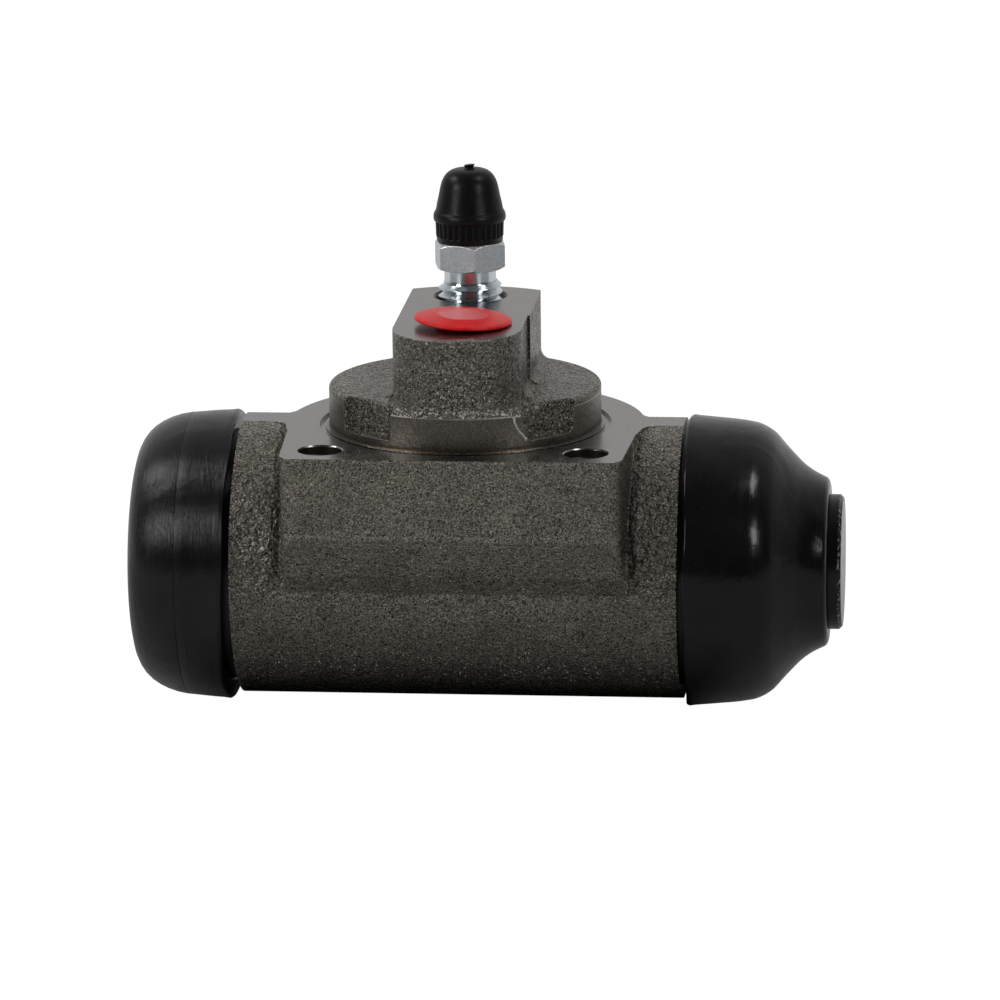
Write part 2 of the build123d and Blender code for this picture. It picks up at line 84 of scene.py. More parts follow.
MM = 0.001
X_AXIS = Vector((1, 0, 0))
Z_AXIS = Vector((0, 0, 1))

# where the pieces are and how large, in mm; noses and lips are measured from the middle of the bore
MID_X = -0.4
BORE_Y = 1.7
BORE_Z = -21.5
BORE_R = 14.29
FLOOR_Z = cad_box[0][2] / MM
PILOT_R = 20.6
RELIEF_R = 21.35
LOBE_TOP = 5.16
BLOCK_RIGHT = 25.9
BLOCK_LEFT = -25.7
BLEED_X = -0.35
BLEED_Y = 13.0
BOSS_TOP = 16.85
BOSS_FOOT = 5.75
PORT = (0.3, -7.5)
BOLTS = ((-19.8, -19.4), (19.8, -19.4))
BARREL_HALF = 33.6
LIP_AT = 35.15
RIGHT_NOSE = 57.6
LEFT_NOSE = 47.1
PISTON_LENGTH = 31
EXPANDER_HEIGHT = 3.8
HOLE_END = -15.0
# where each hole of the casting opens, and the radius of its mouth; the bleeder hole is the last
HOLE_MOUTHS = ((BOLTS[0], 3.5), (BOLTS[1], 3.5), (PORT, 5.02), ((BLEED_X, BLEED_Y), 5.75))
HEX_LOW = 21.25
HEX_HIGH = 25.4


class WheelCylinderSizes(bpy.types.PropertyGroup):
    """Sizes of the visible details."""

    turn_steps: bpy.props.IntProperty(
        name="Turned steps", description="Faces round a turned or moulded piece",
        default=144, min=48, max=256)
    cap_ribs: bpy.props.IntProperty(
        name="Cap ribs", description="Ribs round the bleeder cap", default=32, min=12, max=48)
    cap_rib_depth: bpy.props.FloatProperty(
        name="Cap rib depth (mm)", description="Depth of the grooves between the ribs",
        default=0.55, min=0.05, max=0.6)
    screw_pitch: bpy.props.FloatProperty(
        name="Bleeder pitch (mm)", description="Thread pitch of the bleeder screw",
        default=1.25, min=0.5, max=2.0)
    hole_pitch: bpy.props.FloatProperty(
        name="Hole pitch (mm)", description="Thread pitch of the tapped mounting holes",
        default=1.25, min=0.5, max=2.0)
    sand_grain: bpy.props.FloatProperty(
        name="Sand grain (mm)", description="Grain that the sand mould leaves on the casting",
        default=0.25, min=0.1, max=2.0)
    lip_wave: bpy.props.FloatProperty(
        name="Lip wave (mm)", description="How far the free lip of a boot wanders",
        default=0.16, min=0.0, max=0.5)


class WheelCylinderColours(bpy.types.PropertyGroup):
    """Colours, written as sRGB."""

    cast: bpy.props.StringProperty(name="Cast iron", description="As-cast skin", default="#858077")
    milled: bpy.props.StringProperty(
        name="Milled iron", description="Milled and turned faces", default="#95928F")
    rubber: bpy.props.StringProperty(name="Rubber", description="Boots and cap", default="#0D0D0F")
    zinc: bpy.props.StringProperty(name="Zinc plate", description="Bleeder screw", default="#E6EEF3")
    plug: bpy.props.StringProperty(name="Plug", description="Inlet plug", default="#FF2428")
    # the lighter middle of the plug's top is a painted reflection
    plug_centre_sheen: bpy.props.StringProperty(
        name="Plug centre", description="Rubbed middle of the plug", default="#FF5C60")
    piston: bpy.props.StringProperty(name="Piston side", description="Dark hard coat", default="#3B3939")
    piston_end: bpy.props.StringProperty(name="Piston end", description="Bare turned face", default="#C4C2C0")
    spring: bpy.props.StringProperty(
        name="Spring steel", description="Spring and expanders", default="#77746F")
    floor: bpy.props.StringProperty(name="Floor", description="Studio floor", default="#9C9C9C")
    floor_bounce: bpy.props.StringProperty(
        name="Floor bounce", description="Floor as the object sees it", default="#A0A0A0")


# small tools


def linear(code):
    """An sRGB hex colour as linear RGBA."""
    parts = [int(code[i:i + 2], 16) / 255 for i in (1, 3, 5)]
    return tuple(c / 12.92 if c <= 0.04045 else ((c + 0.055) / 1.055) ** 2.4 for c in parts) + (1.0,)


def add(tree, kind, inputs=None, stops=None, **settings):
    """Adds a node with its settings, and gives its inputs values or links.
    A node given as an input stands for its first output that is in use."""
    node = tree.nodes.new(kind)
    for name, value in settings.items():
        setattr(node, name, value)
    for key, value in (inputs or {}).items():
        socket = node.inputs[key]
        if isinstance(value, bpy.types.Node):
            value = next(o for o in value.outputs if o.enabled)
        if isinstance(value, bpy.types.NodeSocket):
            tree.links.new(value, socket)
        else:
            socket.default_value = value
    if stops:
        elements = node.color_ramp.elements
        while len(elements) < len(stops):
            elements.new(0.5)
        for element, (place, colour) in zip(elements, stops):
            element.position = place
            element.color = colour
    return node


def new_material(name):
    """A material with its node tree, its shader, and the surface point in mm."""
    material = bpy.data.materials.new(name)
    material.use_nodes = True
    tree = material.node_tree
    shader = tree.nodes["Principled BSDF"]
    coords = add(tree, "ShaderNodeTexCoord")
    point = add(tree, "ShaderNodeVectorMath", {0: coords.outputs["Object"], 1: (1000, 1000, 1000)},
                operation="MULTIPLY")
    return material, tree, shader, point


def off_axis(tree, point, centre, across):
    """Distance in mm of the surface from an axis through centre; across keeps the other two directions."""
    shifted = add(tree, "ShaderNodeVectorMath", {0: point, 1: centre}, operation="SUBTRACT")
    flat = add(tree, "ShaderNodeVectorMath", {0: shifted, 1: across}, operation="MULTIPLY")
    return add(tree, "ShaderNodeVectorMath", {0: flat}, operation="LENGTH")


def wire(bm, points, place, closed):
    """Draws a profile of (along, out, round) corners as edges, and rounds the corners."""
    verts = [bm.verts.new(place(along, out)) for along, out, _ in points]
    pairs = zip(verts, verts[1:] + verts[:1]) if closed else zip(verts, verts[1:])
    for pair in list(pairs):
        bm.edges.new(pair)
    for size in sorted({p[2] for p in points if p[2] > 0}):
        soft = [v for v, p in zip(verts, points) if p[2] == size]
        segments = 3 if size < 0.6 else 5 if size < 2 else 12
        bmesh.ops.bevel(bm, geom=soft, offset=size * MM, segments=segments, profile=0.5,
                        affect="VERTICES", material=-1)


def turned(points, centre, axis, out, steps, closed=True):
    """A bmesh of a profile turned full circle about an axis. centre is in mm."""
    bm = bmesh.new()
    middle = Vector(centre) * MM
    wire(bm, points, lambda a, r: middle + (axis * a + out * r) * MM, closed)
    bmesh.ops.spin(bm, geom=bm.verts[:] + bm.edges[:], cent=middle, axis=axis, angle=tau, steps=steps,
                   use_merge=True)
    bmesh.ops.remove_doubles(bm, verts=bm.verts, dist=0.004 * MM)
    bmesh.ops.dissolve_degenerate(bm, edges=bm.edges, dist=0.001 * MM)
    bmesh.ops.recalc_face_normals(bm, faces=bm.faces)
    return bm


def coil(section, centre, axis, out, rise, turns, steps):
    """A bmesh of a closed section wound round an axis, its two ends filled."""
    bm = bmesh.new()
    middle = Vector(centre) * MM
    verts = [bm.verts.new(middle + (axis * a + out * r) * MM) for a, r in section]
    start = bm.faces.new(verts)
    total = max(1, round(steps * turns))
    bmesh.ops.spin(bm, geom=[start], cent=middle, axis=axis, dvec=axis * rise * turns / total * MM,
                   angle=tau * turns, steps=total, use_duplicate=False)
    bmesh.ops.recalc_face_normals(bm, faces=bm.faces)
    return bm


def skin_over(bm, rows):
    """Joins closed rows of vertices, each as long as the next, with faces."""
    for low, high in zip(rows, rows[1:]):
        for corners in zip(low, low[1:] + low[:1], high[1:] + high[:1], high):
            bm.faces.new(corners)


def take_in(bm, other):
    """Adds another bmesh to bm, and frees it."""
    mesh = bpy.data.meshes.new("taken_in")
    other.to_mesh(mesh)
    other.free()
    bm.from_mesh(mesh)
    bpy.data.meshes.remove(mesh)


def piece(bm, name, material, body, sharp=32):
    """Makes the finished mesh an object, smooth except where its faces meet at more than sharp degrees."""
    for face in bm.faces:
        face.smooth = True
    for edge in bm.edges:
        edge.smooth = len(edge.link_faces) == 2 and edge.calc_face_angle(0) < radians(sharp)
    mesh = bpy.data.meshes.new(name)
    bm.to_mesh(mesh)
    bm.free()
    mesh.materials.append(material)
    made = bpy.data.objects.new(name, mesh)
    bpy.context.scene.collection.objects.link(made)
    if body:
        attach(made, body)
    return made


def dress(node, material):
    """Gives a CAD node that keeps its shape its finish."""
    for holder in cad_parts[node].material_slots:
        holder.material = material


# materials


def shaded(colour, gain):
    """A linear colour made darker or lighter."""
    return tuple(min(1, c * gain) for c in colour[:3]) + (1,)


def overlap(tree, *masks):
    """The mask where all of the masks hold."""
    common = masks[0]
    for mask in masks[1:]:
        common = add(tree, "ShaderNodeMath", {0: common, 1: mask}, operation="MULTIPLY")
    return common


def either(tree, *masks):
    """The mask where at least one of the masks holds."""
    whole = masks[0]
    for mask in masks[1:]:
        whole = add(tree, "ShaderNodeMath", {0: whole, 1: mask}, operation="MAXIMUM")
    return whole


def painted(tree, colour, *coats):
    """Lays coats over a colour in turn, each a mask and what it shows there: a node or an sRGB code."""
    for mask, coat in coats:
        shown = linear(coat) if isinstance(coat, str) else coat
        colour = add(tree, "ShaderNodeMix", {0: mask, 6: colour, 7: shown}, data_type="RGBA")
    return colour


def varied(tree, noise, low, high):
    """A value that goes from low to high with a noise, whose own values lie mostly from 0.3 to 0.7."""
    return add(tree, "ShaderNodeMapRange", {"Value": noise, "From Min": 0.3, "From Max": 0.7,
                                            "To Min": low, "To Max": high})


def rounded(tree, radius, starts, full):
    """The normal with its edges rounded by radius, and a mask of the edges: it starts where the two
    normals' dot product is starts, and is full where the product is full."""
    soft = add(tree, "ShaderNodeBevel", {"Radius": radius}, samples=8)
    true = add(tree, "ShaderNodeNewGeometry").outputs["Normal"]
    turn = add(tree, "ShaderNodeVectorMath", {0: soft, 1: true}, operation="DOT_PRODUCT")
    return soft, add(tree, "ShaderNodeMapRange", {"Value": turn, "From Min": starts, "From Max": full})


def specks(tree, point, spacing, smallest, largest, rim):
    """A mask of round specks about spacing mm apart. Their radii run from smallest to largest in shares of
    the spacing, and those below nought don't show. rim is how far outside its radius a speck ends."""
    cells = add(tree, "ShaderNodeTexVoronoi", {"Vector": point, "Scale": 1 / spacing}, feature="F1")
    drawn = add(tree, "ShaderNodeSeparateColor", {0: cells.outputs["Color"]})
    size = add(tree, "ShaderNodeMapRange", {"Value": drawn, "To Min": smallest, "To Max": largest})
    outside = add(tree, "ShaderNodeMath", {0: cells.outputs["Distance"], 1: size}, operation="SUBTRACT")
    return add(tree, "ShaderNodeMapRange", {"Value": outside, "From Min": -0.02, "From Max": rim,
                                            "To Min": 1.0, "To Max": 0.0})


def surface(tree, shader, colour=None, rough=None, metal=None, height=None, normal=None):
    """Links what varies over a surface to its shader. height is in mm and raises the surface, from the
    normal where one is given."""
    if height:
        relief = {"Strength": 1.0, "Distance": MM, "Height": height}
        if normal:
            relief["Normal"] = normal
        normal = add(tree, "ShaderNodeBump", relief)
    links = (("Base Color", colour), ("Roughness", rough), ("Metallic", metal), ("Normal", normal))
    for name, node in links:
        if node:
            output = next(o for o in node.outputs if o.enabled)
            tree.links.new(output, shader.inputs[name])


def casting_places(tree, point):
    """Masks of where the casting was milled or turned, and of the regions of its skin, with the
    coordinates in mm that the other patterns need."""
    at = SimpleNamespace()
    x, y, z = add(tree, "ShaderNodeSeparateXYZ", {0: point}).outputs
    at.x, at.y, at.z = x, y, z
    at.radius = off_axis(tree, point, (0, 0, 0), (1, 1, 0))
    bore = off_axis(tree, point, (0, BORE_Y, BORE_Z), (0, 1, 1))

    # where it was milled or turned: flange face, relief ring, boss top, pilot side, holes, bore, ends
    at.face = add(tree, "ShaderNodeMath", {0: z, 1: 0.0, 2: 0.03}, operation="COMPARE")
    top = add(tree, "ShaderNodeMath", {0: z, 1: BOSS_TOP, 2: 0.03}, operation="COMPARE")
    above = add(tree, "ShaderNodeMath", {0: z, 1: -0.52}, operation="GREATER_THAN")
    ring = add(tree, "ShaderNodeMath", {0: at.radius, 1: RELIEF_R, 2: 0.8}, operation="COMPARE")
    side = add(tree, "ShaderNodeMath", {0: at.radius, 1: PILOT_R, 2: 0.06}, operation="COMPARE")
    at.upright = overlap(tree, side, above)
    inside = add(tree, "ShaderNodeMath", {0: bore, 1: BORE_R + 0.3}, operation="LESS_THAN")
    middle = add(tree, "ShaderNodeMath", {0: x, 1: MID_X}, operation="SUBTRACT")
    far = add(tree, "ShaderNodeMath", {0: middle}, operation="ABSOLUTE")
    ends = add(tree, "ShaderNodeMath", {0: far, 1: BARREL_HALF - 0.02}, operation="GREATER_THAN")
    mouths = []
    for (hole_x, hole_y), mouth in HOLE_MOUTHS:
        hole = off_axis(tree, point, (hole_x, hole_y, 0), (1, 1, 0))
        mouths.append(add(tree, "ShaderNodeMath", {0: hole, 1: mouth}, operation="LESS_THAN"))
    high = add(tree, "ShaderNodeMath", {0: z, 1: HOLE_END}, operation="GREATER_THAN")
    drilled = overlap(tree, either(tree, *mouths), high)
    at.worked = either(tree, at.face, top, overlap(tree, above, ring), at.upright, inside, ends, drilled)

    # masks of painted shade: the holes are painted darker inside, and the gaps round the bleeder screw and
    # behind the boots near black
    deep = add(tree, "ShaderNodeMath", {0: z, 1: BOSS_TOP - 0.35}, operation="LESS_THAN")
    below = add(tree, "ShaderNodeMath", {0: z, 1: -0.25}, operation="LESS_THAN")
    tall = add(tree, "ShaderNodeMath", {0: z, 1: 6.0}, operation="GREATER_THAN")
    at.sooty = overlap(tree, drilled, either(tree, overlap(tree, deep, tall), below))
    sunk_in = add(tree, "ShaderNodeMath", {0: z, 1: BOSS_TOP - 0.04}, operation="LESS_THAN")
    at.grimy = either(tree, ends, overlap(tree, mouths[-1], sunk_in, tall))

    # the pilot and boss side, the upper half of each barrel end, and the belly of the barrel
    at.raised = add(tree, "ShaderNodeMapRange", {"Value": z, "From Min": -0.3, "From Max": 0.0})
    outer = add(tree, "ShaderNodeMapRange", {"Value": far, "From Min": 26.0, "From Max": 27.5})
    upper = add(tree, "ShaderNodeMapRange", {"Value": z, "From Min": -24.0, "From Max": -18.0})
    at.end_zone = overlap(tree, outer, upper)
    at.belly = add(tree, "ShaderNodeMapRange", {"Value": z, "From Min": -39.0, "From Max": -31.0,
                                                "To Min": 0.3, "To Max": 1.0})

    # the front of the block: the slope at its foot, and the crease where the slope starts
    at.aside = add(tree, "ShaderNodeMath", {0: x}, operation="ABSOLUTE")
    on_block = add(tree, "ShaderNodeMath", {0: at.aside, 1: 25.3}, operation="LESS_THAN")
    in_front = add(tree, "ShaderNodeMath", {0: y, 1: -18.0}, operation="LESS_THAN")
    slope = add(tree, "ShaderNodeMath", {0: z, 1: -15.8, 2: 2.9}, operation="COMPARE")
    at.slope = overlap(tree, slope, in_front, on_block)
    crease = add(tree, "ShaderNodeMath", {0: z, 1: -12.0, 2: 0.45}, operation="COMPARE")
    at.crease = overlap(tree, crease, on_block, in_front)
    return at


def casting_painted_light(tree, at):
    """Painted light and shade on the cast skin, as factors of its tone."""
    # painted shade darkens the corners where the block stands out of the barrel
    factors = []
    for block_side, start, beyond_painted_shadow, darkest in ((BLOCK_RIGHT, 0.4, 1.3, 0.36), (BLOCK_LEFT, 0.12, 0.5, 0.15)):
        beside = add(tree, "ShaderNodeMath", {0: at.x, 1: block_side}, operation="SUBTRACT")
        beside = add(tree, "ShaderNodeMath", {0: beside}, operation="ABSOLUTE")
        factors.append(add(tree, "ShaderNodeMapRange", {"Value": beside, "From Min": start,
                                                        "From Max": beyond_painted_shadow, "To Min": darkest}))
    corner_shade = add(tree, "ShaderNodeMath", {0: factors[0], 1: factors[1]}, operation="MULTIPLY")
    low_end = add(tree, "ShaderNodeMapRange", {"Value": at.z, "From Min": -20.0, "From Max": -15.0})
    ahead = add(tree, "ShaderNodeMapRange", {"Value": at.y, "From Min": -10.0, "From Max": -13.0})
    under = add(tree, "ShaderNodeMath", {0: at.z, 1: -0.3}, operation="LESS_THAN")
    corner_shade = add(tree, "ShaderNodeMix", {0: overlap(tree, low_end, ahead, under), 2: 1.0, 3: corner_shade})
    # the round front of the boss is painted darker toward its two sides, as painted shade
    flank_shade = add(tree, "ShaderNodeMapRange", {"Value": at.aside, "From Min": 5.6, "From Max": 9.4,
                                             "To Min": 1.0, "To Max": 0.62})
    lifted = add(tree, "ShaderNodeMapRange", {"Value": at.z, "From Min": 6.4, "From Max": 8.4})
    fore = add(tree, "ShaderNodeMath", {0: at.y, 1: -1.3}, operation="LESS_THAN")
    flank_shade = add(tree, "ShaderNodeMix", {0: overlap(tree, lifted, fore), 2: 1.0, 3: flank_shade})
    # the upper half of each barrel end is painted a little lighter, and so is the slope under the block:
    # painted light
    end_light = add(tree, "ShaderNodeMapRange", {"Value": at.end_zone, "To Min": 1.0, "To Max": 1.22})
    slope_light = add(tree, "ShaderNodeMapRange", {"Value": at.slope, "To Min": 1.0, "To Max": 1.28})
    return corner_shade, flank_shade, end_light, slope_light


def casting_height(tree, point, at, grain, pebble, pit_and_shade):
    """Height in mm: pebbles, grains and pits on the skin, hair-fine marks on the milled faces."""
    # the mould was rougher round the pilot and boss, and at the barrel ends
    lobe_side = add(tree, "ShaderNodeMapRange", {"Value": at.z, "From Min": -0.2, "From Max": 0.2})
    coarse_round = add(tree, "ShaderNodeMapRange", {"Value": lobe_side, "To Min": 0.22, "To Max": 1.0})
    coarse_ends = add(tree, "ShaderNodeMapRange", {"Value": at.end_zone, "To Min": 0.22, "To Max": 2.1})
    uneven = add(tree, "ShaderNodeMath", {0: coarse_round, 1: coarse_ends}, operation="MAXIMUM")
    coarse = add(tree, "ShaderNodeMath", {0: pebble, 1: uneven}, operation="MULTIPLY")
    gain = add(tree, "ShaderNodeMapRange", {"Value": lobe_side, "To Min": 1.15, "To Max": 1.9})
    fine_ends = add(tree, "ShaderNodeMapRange", {"Value": at.end_zone, "To Min": 1.0, "To Max": 1.6})
    for factor in (fine_ends, at.belly):
        gain = add(tree, "ShaderNodeMath", {0: gain, 1: factor}, operation="MULTIPLY")
    fine = add(tree, "ShaderNodeMath", {0: grain, 1: 0.19}, operation="MULTIPLY")
    sunk = add(tree, "ShaderNodeMath", {0: pit_and_shade, 1: -0.055}, operation="MULTIPLY")
    fine = add(tree, "ShaderNodeMath", {0: fine, 1: sunk}, operation="ADD")
    fine = add(tree, "ShaderNodeMath", {0: fine, 1: gain}, operation="MULTIPLY")
    cast_height = add(tree, "ShaderNodeMath", {0: fine, 1: coarse}, operation="ADD")
    stretched = add(tree, "ShaderNodeMapping", {0: point, "Scale": (0.15, 5.0, 1.0)})
    marks = add(tree, "ShaderNodeTexNoise", {"Vector": stretched, "Scale": 1.0, "Detail": 2.0})
    cut_height = add(tree, "ShaderNodeMath", {0: marks, 1: 0.006}, operation="MULTIPLY")
    low_skin = add(tree, "ShaderNodeMath", {0: cast_height, 1: 0.07}, operation="MULTIPLY")
    cut_height = add(tree, "ShaderNodeMix", {0: at.upright, 2: cut_height, 3: low_skin})
    return add(tree, "ShaderNodeMix", {0: at.worked, 2: cast_height, 3: cut_height})


def grey_cast_iron(colours, sizes):
    """Grey cast iron. Sand cast skin: dark and metallic, pebbled, with open pits painted dark as painted
    shade and small pale grains that are partly painted glints; painted light, shade and highlights lie in its
    corners, holes, gaps and along some edges.
    Milled and turned faces, picked out by where they are: paler, smoother, with fine tool marks and pores."""
    material, tree, shader, point = new_material("grey_cast_iron_sand_cast_and_milled")
    at = casting_places(tree, point)

    # edges, softened as a mould or a file leaves them
    rounding = add(tree, "ShaderNodeMapRange", {"Value": at.worked, "To Min": 0.75 * MM, "To Max": 0.10 * MM})
    soft, edge = rounded(tree, rounding, 0.998, 0.90)

    # sand skin: pebbles as large as moulding sand, a broad cloudy tone, open pits painted dark as painted
    # shade, pale grains that are partly painted glints
    grain = add(tree, "ShaderNodeTexNoise", {"Vector": point, "Scale": 1 / sizes.sand_grain, "Detail": 3.0,
                                             "Roughness": 0.62})
    pebble = add(tree, "ShaderNodeTexNoise", {"Vector": point, "Scale": 1 / 0.95, "Detail": 2.0,
                                              "Roughness": 0.55, "Distortion": 0.4})
    cloud = add(tree, "ShaderNodeTexNoise", {"Vector": point, "Scale": 1 / 7.0, "Detail": 2.0})
    pit_and_shade = specks(tree, point, 0.46, -0.06, 0.28, 0.07)
    # the pale grains, partly painted glints, are larger, and more of them are painted bright, round the pilot
    # and boss
    largest = add(tree, "ShaderNodeMapRange", {"Value": at.raised, "To Min": 0.11, "To Max": 0.32})
    grain_and_glint = specks(tree, point, 0.40, -0.10, largest, 0.05)
    base = linear(colours.cast)
    skin = add(tree, "ShaderNodeValToRGB", {0: grain},
               stops=[(0.36, shaded(base, 0.26)), (0.50, base), (0.66, shaded(base, 2.0))])
    tone = varied(tree, cloud, 0.84, 1.12)
    # the skin's tone takes the painted light and shade of each region
    for factor in casting_painted_light(tree, at):
        tone = add(tree, "ShaderNodeMath", {0: tone, 1: factor}, operation="MULTIPLY")
    skin = add(tree, "ShaderNodeVectorMath", {0: skin, "Scale": tone}, operation="SCALE")
    # pale grains, partly painted glints, and pits painted dark as painted shade
    skin = painted(tree, skin, (grain_and_glint, "#D8D2C8"), (pit_and_shade, "#1E1B19"))

    # broken grains are facets that each face their own way, and flash where one meets a lamp
    broken = add(tree, "ShaderNodeTexVoronoi", {"Vector": point, "Scale": 1 / 0.25}, feature="F1")
    pick = add(tree, "ShaderNodeSeparateColor", {0: broken.outputs["Color"]})
    shuffled = add(tree, "ShaderNodeMath", {0: pick.outputs[0], 1: 7.13}, operation="MULTIPLY")
    shuffled = add(tree, "ShaderNodeMath", {0: shuffled}, operation="FRACT")
    often = add(tree, "ShaderNodeMapRange", {"Value": at.raised, "To Min": 0.78, "To Max": 0.64})
    share = add(tree, "ShaderNodeMath", {0: shuffled, 1: often}, operation="GREATER_THAN")
    cast_only = add(tree, "ShaderNodeMapRange", {"Value": at.worked, "To Min": 2.5, "To Max": 0.0})
    keen = add(tree, "ShaderNodeMapRange", {"Value": at.raised, "To Min": 1.0, "To Max": 1.5})
    # the belly of the barrel came out smoother
    for factor in (cast_only, keen, at.belly):
        share = add(tree, "ShaderNodeMath", {0: share, 1: factor}, operation="MULTIPLY")
    lean = add(tree, "ShaderNodeVectorMath", {0: broken.outputs["Color"], 1: (0.5, 0.5, 0.36)},
               operation="SUBTRACT")
    lean = add(tree, "ShaderNodeVectorMath", {0: lean, "Scale": share}, operation="SCALE")
    facing = add(tree, "ShaderNodeVectorMath", {0: soft, 1: lean}, operation="ADD")
    facing = add(tree, "ShaderNodeVectorMath", {0: facing}, operation="NORMALIZE")

    # milled faces: nearly even, a few open graphite pores
    pores = add(tree, "ShaderNodeTexVoronoi", {"Vector": point, "Scale": 1 / 1.9}, feature="F1")
    open_pore = add(tree, "ShaderNodeMapRange", {"Value": pores.outputs["Distance"], "From Min": 0.04,
                                                 "From Max": 0.08, "To Min": 0.25, "To Max": 1.0})
    bloom = add(tree, "ShaderNodeTexNoise", {"Vector": point, "Scale": 1 / 4.0, "Detail": 3.0})
    even = varied(tree, bloom, 0.88, 1.06)
    level = add(tree, "ShaderNodeMath", {0: even, 1: open_pore}, operation="MULTIPLY")
    bright = add(tree, "ShaderNodeVectorMath", {0: linear(colours.milled)[:3], "Scale": level},
                 operation="SCALE")
    # the pilot side was turned over the casting skin, and stays darker
    dull = add(tree, "ShaderNodeMix", {0: 0.3, 6: linear("#67625C"), 7: skin}, data_type="RGBA")
    # the narrow lip round the pilot is painted with a warm sheen, a painted reflection, golden at the front
    lip = add(tree, "ShaderNodeMath", {0: at.radius, 1: 20.80, 2: 0.16}, operation="COMPARE")
    lip_sheen = overlap(tree, lip, at.face)
    sheen_front = add(tree, "ShaderNodeMapRange", {"Value": at.y, "From Min": -19.0, "From Max": -14.0})
    lip_sheen_colour = add(tree, "ShaderNodeMix", {0: sheen_front, 6: linear("#B98F48"), 7: linear("#6B6052")},
               data_type="RGBA")
    # painted shade darkens the holes and the gaps round the bleeder screw and behind the boots
    bright = painted(tree, bright, (at.upright, dull), (lip_sheen, lip_sheen_colour), (at.sooty, "#4A4642"),
                     (at.grimy, "#191716"))

    # filed and rubbed edges show as broken bright flecks, partly wear and partly painted highlight; along the
    # crease of the slope the flecks are a painted highlight
    sparks = add(tree, "ShaderNodeTexNoise", {"Vector": point, "Scale": 1 / 0.26, "Detail": 1.0})
    fleck = add(tree, "ShaderNodeMapRange", {"Value": sparks, "From Min": 0.54, "From Max": 0.62,
                                             "To Min": 0.0, "To Max": 0.9})
    rubbed_and_highlit = either(tree, overlap(tree, edge, fleck), overlap(tree, at.crease, fleck, 0.7))
    # the step at the right of the boss is painted dark toward its top, as painted shade in the step
    step_shade = add(tree, "ShaderNodeMath", {0: at.y, 1: -1.2, 2: 0.06}, operation="COMPARE")
    right = add(tree, "ShaderNodeMath", {0: at.x, 1: 9.5}, operation="GREATER_THAN")
    fades = add(tree, "ShaderNodeMapRange", {"Value": at.z, "From Min": 8.6, "From Max": 12.0, "To Max": 0.8})
    step_shade = overlap(tree, step_shade, right, fades)
    # pale specks are painted along the chamfer at the foot of the boss, as painted glints
    foot = add(tree, "ShaderNodeMath", {0: at.z, 1: BOSS_FOOT, 2: 0.50}, operation="COMPARE")
    front = add(tree, "ShaderNodeMath", {0: at.y, 1: -13.5}, operation="LESS_THAN")
    foot_glint = add(tree, "ShaderNodeMath", {0: pick.outputs[0], 1: 0.80}, operation="GREATER_THAN")
    foot_glint = overlap(tree, foot_glint, foot, front, cast_only)
    # the turned edge of the front lobe is painted as a broken bright line, a painted highlight
    lobe_edge_highlight = add(tree, "ShaderNodeMath", {0: at.z, 1: LOBE_TOP, 2: 0.07}, operation="COMPARE")
    outer = add(tree, "ShaderNodeMath", {0: at.radius, 1: PILOT_R - 0.1, 2: 0.12}, operation="COMPARE")
    painted_sheen = add(tree, "ShaderNodeMapRange", {"Value": cloud, "From Min": 0.42, "From Max": 0.62,
                                            "To Min": 0.15, "To Max": 0.9})
    lobe_edge_highlight = overlap(tree, lobe_edge_highlight, outer, painted_sheen)
    colour = painted(tree, skin, (at.worked, bright), (rubbed_and_highlit, "#C9C3BA"), (step_shade, "#2A2725"),
                     (foot_glint, "#EFE9DF"), (lobe_edge_highlight, "#D6D0C6"))

    matt = varied(tree, pebble, 0.32, 0.15)
    satin = varied(tree, bloom, 0.20, 0.28)
    satin = add(tree, "ShaderNodeMix", {0: at.upright, 2: satin, 3: 0.36})
    rough = add(tree, "ShaderNodeMix", {0: at.worked, 2: matt, 3: satin})
    rough = add(tree, "ShaderNodeMix", {0: at.sooty, 2: rough, 3: 0.48})
    metal = add(tree, "ShaderNodeMapRange", {"Value": at.worked, "To Min": 0.72, "To Max": 1.0})
    # the painted shade of the gaps and pits, and the painted glints at the foot of the boss, are less
    # metallic
    shade_pits_and_glints = either(tree, at.grimy, pit_and_shade, foot_glint)
    metal_kept = add(tree, "ShaderNodeMapRange", {"Value": shade_pits_and_glints, "To Min": 1.0, "To Max": 0.15})
    metal = add(tree, "ShaderNodeMath", {0: metal, 1: metal_kept}, operation="MULTIPLY")
    height = casting_height(tree, point, at, grain, pebble, pit_and_shade)
    surface(tree, shader, colour, rough, metal, height, facing)
    return material


